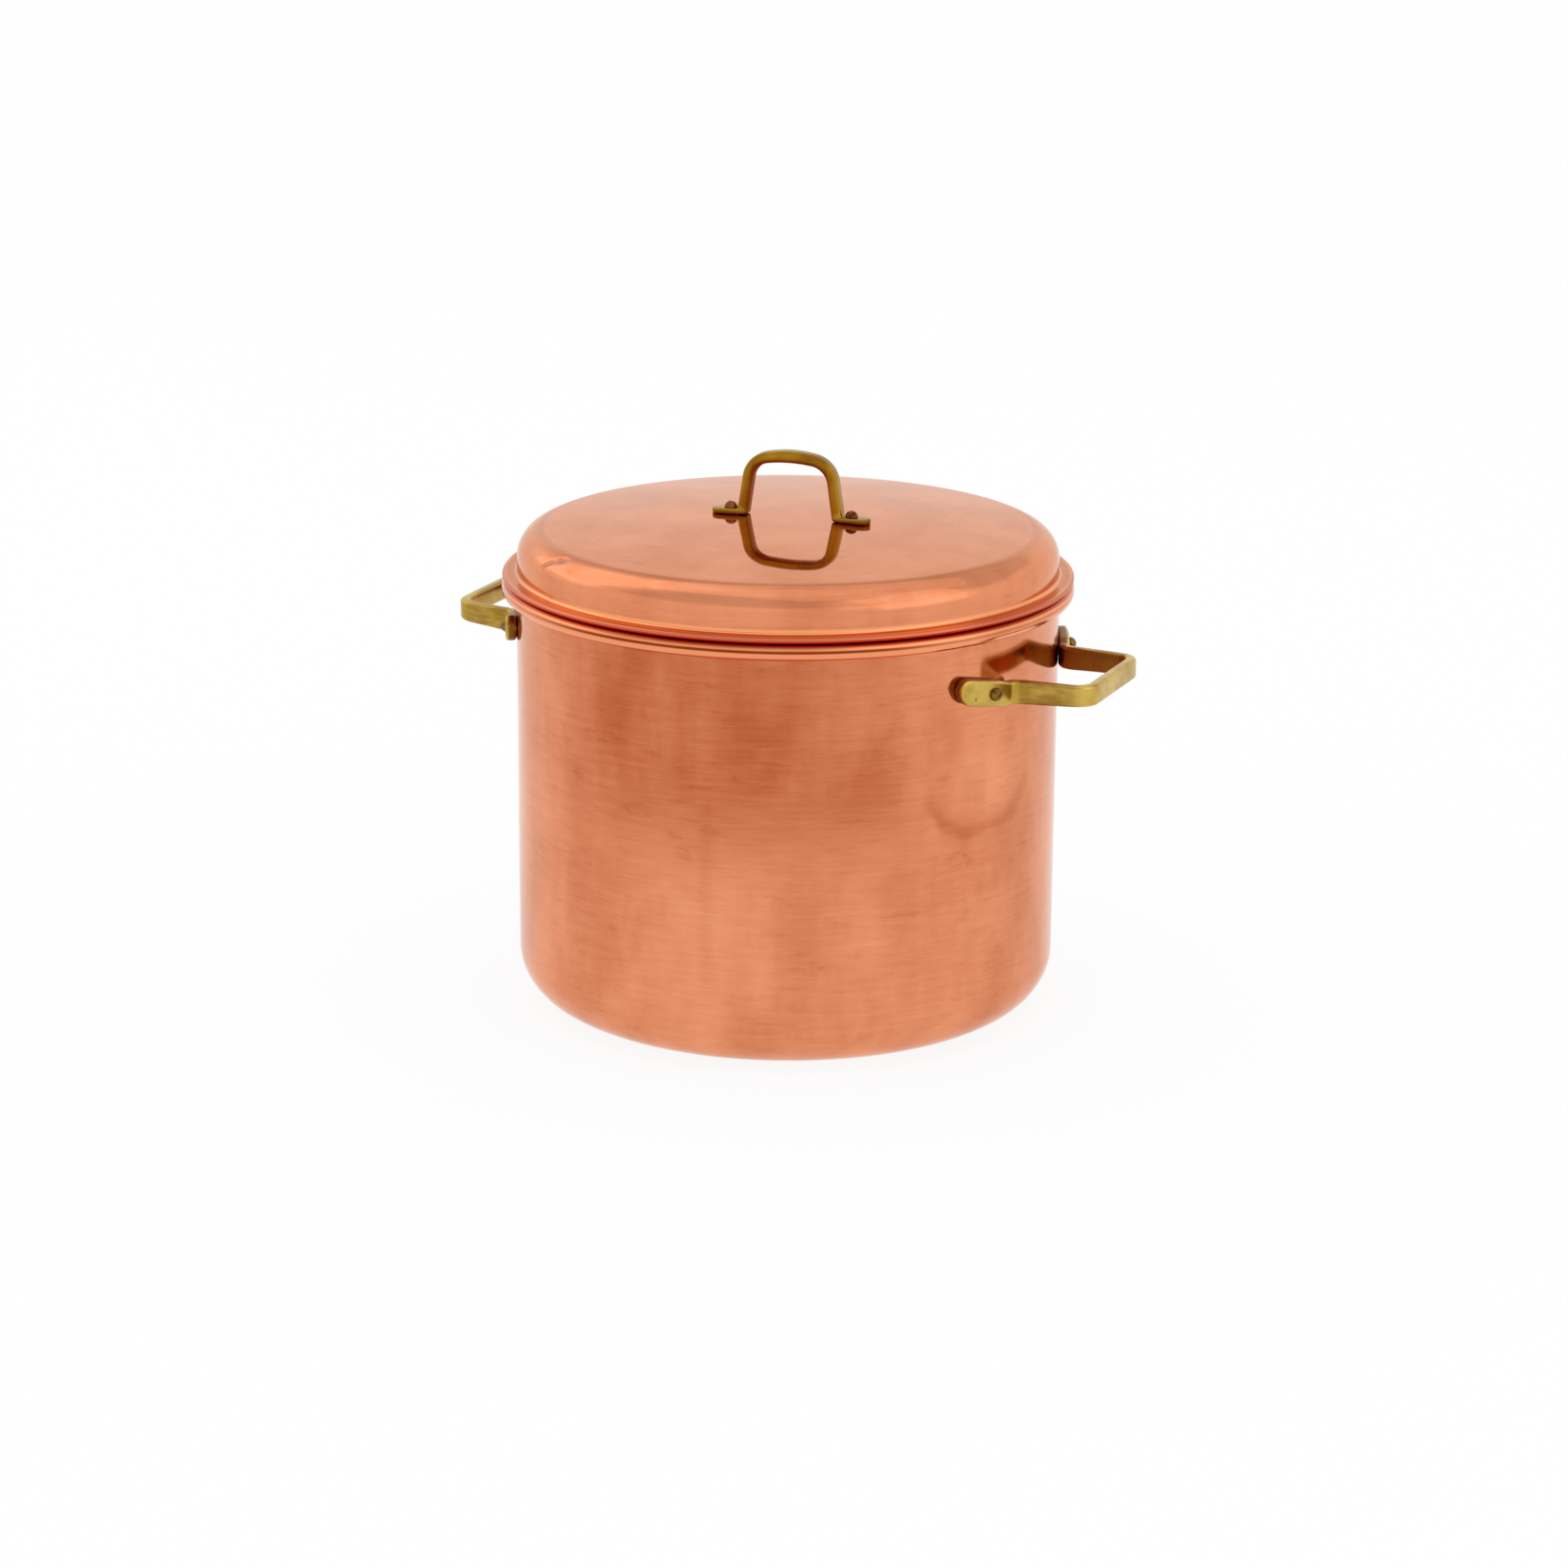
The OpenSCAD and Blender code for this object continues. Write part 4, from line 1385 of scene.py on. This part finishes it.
@dataclass
class ArchHandle(Bar):
    """The handle on the lid: an arch on two feet that lie on the crown."""

    lid: LidSheet = field(default_factory=LidSheet)
    turn: float = 4.5  # angle that the lid is turned by
    height: float = 29.9 * MM  # of the arch above the crown
    base: float = 24.6 * MM  # outer half width where it stands on the lid
    lean: float = 8.5  # angle by which each leg leans in on its way up
    corner: float = 11 * MM  # middle radius of the upper corners
    top: float = 60 * MM  # middle radius of the slightly crowned top
    top_thick: float = 5.4 * MM
    leg_thick: float = 4.8 * MM
    width: float = 7 * MM
    foot_end: float = 36.6 * MM  # from the middle to the tip of a foot
    rivet: float = 28 * MM  # from the middle to a rivet
    foot: Point = (2.6 * MM, 8.6 * MM)  # thickness and width
    shift: float = 1.1 * MM  # how far the arch sits off the middle of the lid
    play: float = 0.02 * MM  # gap between the crown and a foot
    crease: float = 0.4 * MM  # radius of the hollow corner between leg and foot
    squareness: float = 8.0  # how nearly square the outside of that corner is
    corner_steps: int = 24
    leg_steps: int = 7

    def frame(self) -> Matrix:
        """Places the arch's plane upright on the lid.

        Returns:
            The plane's axes and origin: the columns are first, second and across.
        """
        turned = Matrix.Rotation(math.radians(self.turn), 4, "Z")
        heart = Matrix.Translation((0.0, 0.0, self.lid.crown_centre()[1]))
        tipped = Matrix.Rotation(self.shift_angle(), 4, "Y")
        raised = Matrix.Translation((0.0, 0.0, self.lid.crown))
        return turned @ heart @ tipped @ raised @ Matrix.Rotation(math.pi / 2, 4, "X")

    def rivet_angle(self) -> float:
        """Angle of a rivet on the crown's arc, in radians."""
        return math.asin(self.rivet / self.lid.crown)

    def shift_angle(self) -> float:
        """Angle of the arch's middle on the crown's arc, in radians."""
        return math.asin(self.shift / self.lid.crown)

    def axes(self) -> tuple[Vector, Vector, Vector]:
        """Places a foot on the crown.

        Returns:
            Directions up from and along the foot, and the foot's middle at its rivet.
        """
        a = self.rivet_angle()
        up, along = Vector((math.sin(a), math.cos(a))), Vector((math.cos(a), -math.sin(a)))
        return up, along, (up - Vector((0.0, 1.0))) * self.lid.crown + up * (self.foot[0] / 2 + self.play)

    def corner_station(self, share: float) -> Station:
        """Station of the corner between leg and foot.

        Args:
            share: Share of the turn, from 0 at the leg to 1 at the foot.

        Returns:
            The station.
        """
        up, along, bed = self.axes()
        slope, lean, down = self.rivet_angle(), math.radians(self.lean), math.radians(self.lean - 90.0)
        level = bed + up * (self.foot[0] / 2 + self.crease)
        run = self.base + self.crease / math.cos(lean) - level.x - level.y * math.tan(lean)
        heart = level + along * (run / (along.x + along.y * math.tan(lean)))
        heading = down + (-slope - down) * share
        leg_part = math.cos(heading - down) / (self.crease + self.leg_thick)
        foot_part = math.cos(heading + slope) / (self.crease + self.foot[0])
        far = (leg_part**self.squareness + foot_part**self.squareness) ** (-1 / self.squareness)
        place = heart + Vector((math.sin(heading), -math.cos(heading))) * ((far + self.crease) / 2)
        wide = self.width + (self.foot[1] - self.width) * share
        return Station(place.x, place.y, math.degrees(heading), far - self.crease, wide)

    def half(self) -> list[Station]:
        """Draws half of the arch, from the middle of its top to the tip of a foot.

        Returns:
            The stations.
        """
        lean, down = math.radians(self.lean), self.lean - 90.0
        mid_h = self.height - self.top_thick / 2
        corner = [self.corner_station(i / self.corner_steps) for i in range(self.corner_steps + 1)]
        leg_end = (corner[0].first, corner[0].second)
        rest = leg_end[0] - self.corner * math.cos(lean)
        rest -= (mid_h - leg_end[1] - self.top + self.corner * math.sin(lean)) * math.tan(lean)
        top_turn = math.degrees(math.acos(math.cos(lean) * rest / (self.top - self.corner))) + down
        top_reach = bend_reach(0.0, top_turn, self.top)
        size = (self.leg_thick, self.width)
        over = bend((0.0, mid_h), 0.0, top_turn, self.top, size)
        over += bend((top_reach[0], mid_h + top_reach[1]), top_turn, down, self.corner, size)
        for i, s in enumerate(over, 1):
            share = i / len(over)
            s.thick = self.top_thick + (self.leg_thick - self.top_thick) * share * share * (3 - 2 * share)
        made = [Station(0.0, mid_h, 0.0, self.top_thick, self.width), *over]
        leg = straight((over[-1].first, over[-1].second), leg_end, self.leg_steps)
        made += [Station(*place, down, *size) for place in leg]
        _, along, bed = self.axes()
        thick, wide = self.foot
        tip = self.foot_end - self.rivet - wide / 2
        stops = [(tip, wide)]
        for turn in TIP_ANGLES:
            q = math.radians(turn)
            stops.append((tip + wide / 2 * math.sin(q), wide * math.cos(q)))
        heading = -math.degrees(self.rivet_angle())
        return made + corner + [Station(*(bed + along * run), heading, thick, w) for run, w in stops]

    def halves(self) -> tuple[list[Station], list[Station]]:
        """The half on the negative side of the first axis, drawn mirrored, and the other half."""
        return self.half(), self.half()


# Rivets


@dataclass
class Rivets:
    """The rivets of one body."""

    name: str
    body: Body
    nodes: list[str]  # the packed nodes that they stand for
    seats: list[tuple[Vector, Vector]]  # inner head's face, and direction towards the outer head
    grip: float  # length of the shank between the heads
    shank: float = 2 * MM  # radius of the shank
    head: Point = (2.9 * MM, 2.8 * MM)  # radius and height of the domed outer head
    tail: Point = (3.6 * MM, 1.1 * MM)  # the same for the flattened inner head
    land: float = 0.4 * MM  # height of a head's upright edge
    segments: int = 40  # facets of a full turn
    dome_steps: int = 12
    spread: float = 0.02  # how much they differ in size
    seed: int = 5

    def dome(self, radius: float, height: float) -> list[Point]:
        """A low dome on a short upright land.

        Args:
            radius: Its radius.
            height: Its height, with the land.

        Returns:
            Its outline, from its edge to its top.
        """
        rise = height - self.land
        ball = (radius * radius + rise * rise) / (2 * rise)
        start = math.degrees(math.asin((ball - rise) / ball))
        return arc((0.0, height - ball), ball, start, 90.0, self.dome_steps)

    def outline(self) -> list[Point]:
        """Draws a rivet's outline.

        Returns:
            The outline, from the inner head to the outer one.
        """
        low = [(r, -z) for r, z in reversed(self.dome(*self.tail))]
        low += [(self.tail[0], 0.0), (self.shank, 0.0)]
        high = [(self.shank, self.grip), (self.head[0], self.grip)]
        return low + high + [(r, self.grip + z) for r, z in self.dome(*self.head)]

    def build(self, finish: Finish) -> bpy.types.Object:
        """Makes the piece.

        Args:
            finish: Its finish.

        Returns:
            The piece, riding on its body.
        """
        points = self.outline()
        waves = (0.0, 0.01, 0.0)
        model = revolved(self.name + "_model", points, len(points), self.segments, waves, finish, finish)
        source = bpy.data.meshes.new(self.name)
        source.from_pydata([place for place, _ in self.seats], [], [])
        set_attribute(source, "facing", [way for _, way in self.seats])
        values = {"Rivet": model, "Spread": self.spread, "Seed": self.seed, "Finish": finish.material()}
        piece = grown(self.name, source, rivet_tree(), values)
        bpy.data.objects.remove(model)
        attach(piece, self.body.value)
        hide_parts(*self.nodes)
        return piece

    @classmethod
    def of_wall(cls, handles: list[LoopHandle], shell: PotShell) -> "Rivets":
        """The rivets that hold the handles on the wall.

        Args:
            handles: The right-hand and the left-hand handle.
            shell: The pot's body.

        Returns:
            The rivets.
        """
        seats, names = [], []
        seat_r = math.sqrt((shell.radius - shell.sheet) ** 2 - cls.tail[0] ** 2)
        for handle in handles:
            a = math.radians(handle.foot_rivet)
            middle = (handle.wall + handle.foot[0] / 2) * math.sin(a)
            for end, label in ((-1, "front"), (1, "rear")):
                way = Vector((handle.side.value * math.cos(a), end * math.sin(a), 0.0))
                z = handle.height + end * middle * math.tan(math.radians(handle.roll))
                z += handle.rear_rivet_lift * max(end, 0)
                seats.append((way * seat_r + Vector((0.0, 0.0, z)), way))
                names.append(f"{handle.side.name.lower()}_handle_{label}_rivet")
        grip = handles[0].wall + handles[0].play + handles[0].foot[0] - seat_r
        return cls("wall_rivets", Body.POT, names, seats, grip)

    @classmethod
    def of_lid(cls, arch: ArchHandle) -> "Rivets":
        """The rivets that hold the arch on the lid.

        Args:
            arch: The lid's handle.

        Returns:
            The rivets.
        """
        seats, names = [], []
        crown = arch.lid.crown
        seat_r = math.sqrt((crown - arch.lid.sheet) ** 2 - cls.tail[0] ** 2) - arch.play
        heart = Vector((0.0, 0.0, arch.lid.crown_centre()[1]))
        t = math.radians(arch.turn)
        for end, label in ((-1, "left"), (1, "right")):
            a = end * arch.rivet_angle() + arch.shift_angle()
            way = Vector((math.sin(a) * math.cos(t), math.sin(a) * math.sin(t), math.cos(a)))
            seats.append((heart + way * seat_r, way))
            names.append(f"lid_handle_{label}_rivet")
        return cls("lid_rivets", Body.LID, names, seats, crown + arch.play + arch.foot[0] - seat_r)


# The studio


@dataclass
class SoftBox:
    """A soft area lamp."""

    name: str
    place: Place
    size: Point
    power: float  # in watts
    target: Place = (0.0, 0.0, 0.1)

    def build(self) -> bpy.types.Object:
        """Makes the lamp.

        Returns:
            The lamp.
        """
        data = bpy.data.lights.new(self.name, "AREA")
        data.shape = "RECTANGLE"
        data.size, data.size_y = self.size
        data.energy = self.power
        lamp = bpy.data.objects.new(self.name, data)
        lamp.location = self.place
        way = Vector(self.target) - Vector(self.place)
        lamp.rotation_euler = way.to_track_quat("-Z", "Y").to_euler()
        bpy.context.scene.collection.objects.link(lamp)
        return lamp


class PaleFloor(Finish):
    """The floor's finish: white to the camera and in reflections, and a little shadow on it."""

    name = "pale_floor"
    grey = 0.9
    white = 0.9  # share of plain white where the floor is seen

    def surface(self, nodes: Nodes) -> Value:
        """The floor's shader.

        Args:
            nodes: The material's tree.

        Returns:
            The shader.
        """
        seen = nodes.add("ShaderNodeLightPath", None, "Is Camera Ray")
        seen = seen.at_least(seen.also("Is Glossy Ray")).at_least(seen.also("Is Transmission Ray"))
        pale = nodes.add("ShaderNodeBsdfDiffuse", {"Color": (self.grey, self.grey, self.grey, 1.0)})
        white = nodes.add("ShaderNodeEmission", {"Color": (1.0, 1.0, 1.0, 1.0)})
        return nodes.add("ShaderNodeMixShader", {0: seen * self.white, 1: pale, 2: white})


@dataclass
class Studio:
    """Floor, lamps, white surroundings and the camera of the photograph."""

    azimuth: float = 23.6  # angle of the camera round the pot
    elevation: float = 15.85  # angle of the camera above the horizon
    distance: float = 1.887  # from the camera to its target
    target: float = 0.108  # height of the point that it looks at
    lens: float = 96.89  # focal length, in millimetres
    sensor: float = 36.0  # width of the sensor, in millimetres
    clip: Point = (0.05, 50.0)  # nearest and furthest distance that is seen
    shift: Point = (-0.0018, -0.0179)  # of the picture, in widths of the sensor
    roll: float = 0.0076  # turn of the camera about its view, in radians
    reach: float = 12.0  # half of the floor's width
    drop: float = 0.0004  # how far the floor is below the base
    zenith: Ramp = Ramp(0.90, 0.99, 0.12)  # heights in the sky that the metal sees brighter
    ceiling: Ramp = Ramp(0.35, 0.52, 0.22)  # heights from which it sees it dimmer
    glows: tuple[tuple[Place, Ramp], ...] = (  # directions, and cosines of the angle from them
        ((-0.751, 0.079, 0.656), Ramp(0.76, 0.98, 0.38)),
        ((0.835, -0.147, 0.530), Ramp(0.78, 0.97, 0.26)),
    )
    lamps: tuple[SoftBox, ...] = (
        SoftBox("key", (-2.2, 0.1, 1.9), (2.4, 2.4), 4.0),
        SoftBox("fill", (2.2, -0.3, 1.5), (2.0, 2.2), 3.0),
        SoftBox("top", (0.1, 0.3, 2.6), (3.2, 3.2), 6.0),
    )

    def camera(self) -> bpy.types.Object:
        """Makes the camera and puts it in use.

        Returns:
            The camera.
        """
        data = bpy.data.cameras.new("camera")
        data.sensor_fit = "HORIZONTAL"
        data.sensor_width = self.sensor
        data.lens = self.lens
        data.shift_x, data.shift_y = self.shift
        data.clip_start, data.clip_end = self.clip
        a, e = math.radians(self.azimuth), math.radians(self.elevation)
        back = Vector((math.sin(a) * math.cos(e), -math.cos(a) * math.cos(e), math.sin(e)))
        cam = bpy.data.objects.new("camera", data)
        cam.location = Vector((0.0, 0.0, self.target)) + back * self.distance
        turned = (-back).to_track_quat("-Z", "Y").to_matrix().to_4x4()
        cam.rotation_euler = (turned @ Matrix.Rotation(self.roll, 4, "Z")).to_euler()
        bpy.context.scene.collection.objects.link(cam)
        bpy.context.scene.camera = cam
        return cam

    def sky(self, nodes: Nodes) -> Value:
        """White surroundings, which the metal sees with a dimmer ceiling and brighter glows.

        Args:
            nodes: The world's tree.

        Returns:
            The shader.
        """
        way = nodes.add("ShaderNodeTexCoord", None, "Object")
        _, _, up = nodes.parts(way)
        change = self.zenith.of(up) - self.ceiling.of(up)
        for middle, glow in self.glows:
            change = change + glow.of(nodes.vectors("DOT_PRODUCT", way, middle, out="Value"))
        strength = 1.0 + change * nodes.add("ShaderNodeLightPath", None, "Is Glossy Ray")
        return nodes.add("ShaderNodeBackground", {"Color": (1.0, 1.0, 1.0, 1.0), "Strength": strength})

    def floor(self) -> bpy.types.Object:
        """Makes a plain pale floor that keeps a soft shadow.

        Returns:
            The floor.
        """
        mesh = bpy.data.meshes.new("floor")
        far = self.reach
        corners = [(-far, -far), (far, -far), (far, far), (-far, far)]
        mesh.from_pydata([(x, y, -self.drop) for x, y in corners], [], [(0, 1, 2, 3)])
        mesh.materials.append(PaleFloor().material())
        floor = bpy.data.objects.new("floor", mesh)
        bpy.context.scene.collection.objects.link(floor)
        return floor

    def build(self) -> None:
        """Makes the studio."""
        bpy.context.scene.view_settings.view_transform = "Standard"
        self.camera()
        world = bpy.data.worlds.new("studio")
        shade(world, self.sky)
        bpy.context.scene.world = world
        self.floor()
        for lamp in self.lamps:
            lamp.build()


def dress_wire(finish: Finish) -> None:
    """Gives the packed wire in the rim its finish.

    Args:
        finish: The finish.
    """
    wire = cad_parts["rim_wire"]
    wire.data.materials.clear()
    wire.data.materials.append(finish.material())


def report(piece: bpy.types.Object) -> None:
    """Logs a finished piece."""
    piece.data.calc_loop_triangles()
    LOG.info("%s: %d triangles", piece.name, len(piece.data.loop_triangles))


def main() -> None:
    """Builds the pot, the lid, the handles and the studio."""
    logging.basicConfig(level=logging.INFO, format="%(name)s: %(message)s")
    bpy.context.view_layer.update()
    copper = Copper(tint_and_light_rings=POT_LIGHT_AND_SHADE_RINGS, marks=(WaterMark(),))
    lid_copper = Copper(
        name="lid_copper",
        deep=(0.55, 0.145, 0.052),
        clear=(0.83, 0.310, 0.158),
        edge=(0.93, 0.84, 0.76),
        polish=0.05,
        depth=0.000008,
        tint_and_light_rings=LID_TINT_AND_LIGHT_RINGS,
        creases=LID_DENTS,
    )
    tin = Clouded(
        "wiped_tin",
        plain=(0.66, 0.65, 0.62),
        cloud=(0.84, 0.83, 0.80),
        rough=0.32,
        depth=0.00018,
        clouds=Grain(42.0, 5.0, 0.6, (1.0, 1.0, 1.4)),
        limits=Ramp(0.3, 0.7),
        specks=Grain(420.0),
        cloud_relief=0.7,
    )
    rivet = Clouded(
        "rivet_copper",
        plain=(0.27, 0.145, 0.032),
        cloud=(0.09, 0.040, 0.008),
        rough=0.36,
        depth=0.0003,
        clouds=Grain(260.0, 3.0, 0.6),
        limits=Ramp(0.38, 0.66),
        specks=Grain(480.0),
        cloud_relief=0.3,
    )
    lid_rivet = replace(
        rivet,
        name="lid_rivet_copper",
        plain=(0.30, 0.10, 0.035),
        cloud=(0.10, 0.030, 0.009),
    )
    brass = LoopBrass()
    lid_brass = ArchBrass(
        "browned_brass",
        (0.39, 0.21, 0.017),
        (0.27, 0.12, 0.008),
        (0.17, 0.050, 0.003),
    )
    shell, lid = PotShell(), LidSheet()
    right = LoopHandle("right_loop_handle", Body.POT, "right_handle")
    left = LoopHandle(
        "left_loop_handle",
        Body.POT,
        "left_handle",
        side=Side.LEFT,
        height=166.8 * MM,
        reach=30.4 * MM,
        grip_lift=0.2 * MM,
        roll=0.9,
        rear_drop=0.0,
        rear_rivet_lift=0.0,
        seed=4.0,
    )
    arch = ArchHandle("lid_arch_handle", Body.LID, "lid_handle", seed=8.0, lid=lid, forging=0.12 * MM)
    report(shell.build(copper, tin))
    report(lid.build(lid_copper, tin))
    report(LidCollar().build(lid_copper, tin))
    for bar, finish in ((right, brass), (left, brass), (arch, lid_brass)):
        report(bar.build(finish))
    report(Rivets.of_wall([right, left], shell).build(rivet))
    report(Rivets.of_lid(arch).build(lid_rivet))
    dress_wire(Steel())
    Studio().build()


if __name__ == "__main__":
    main()
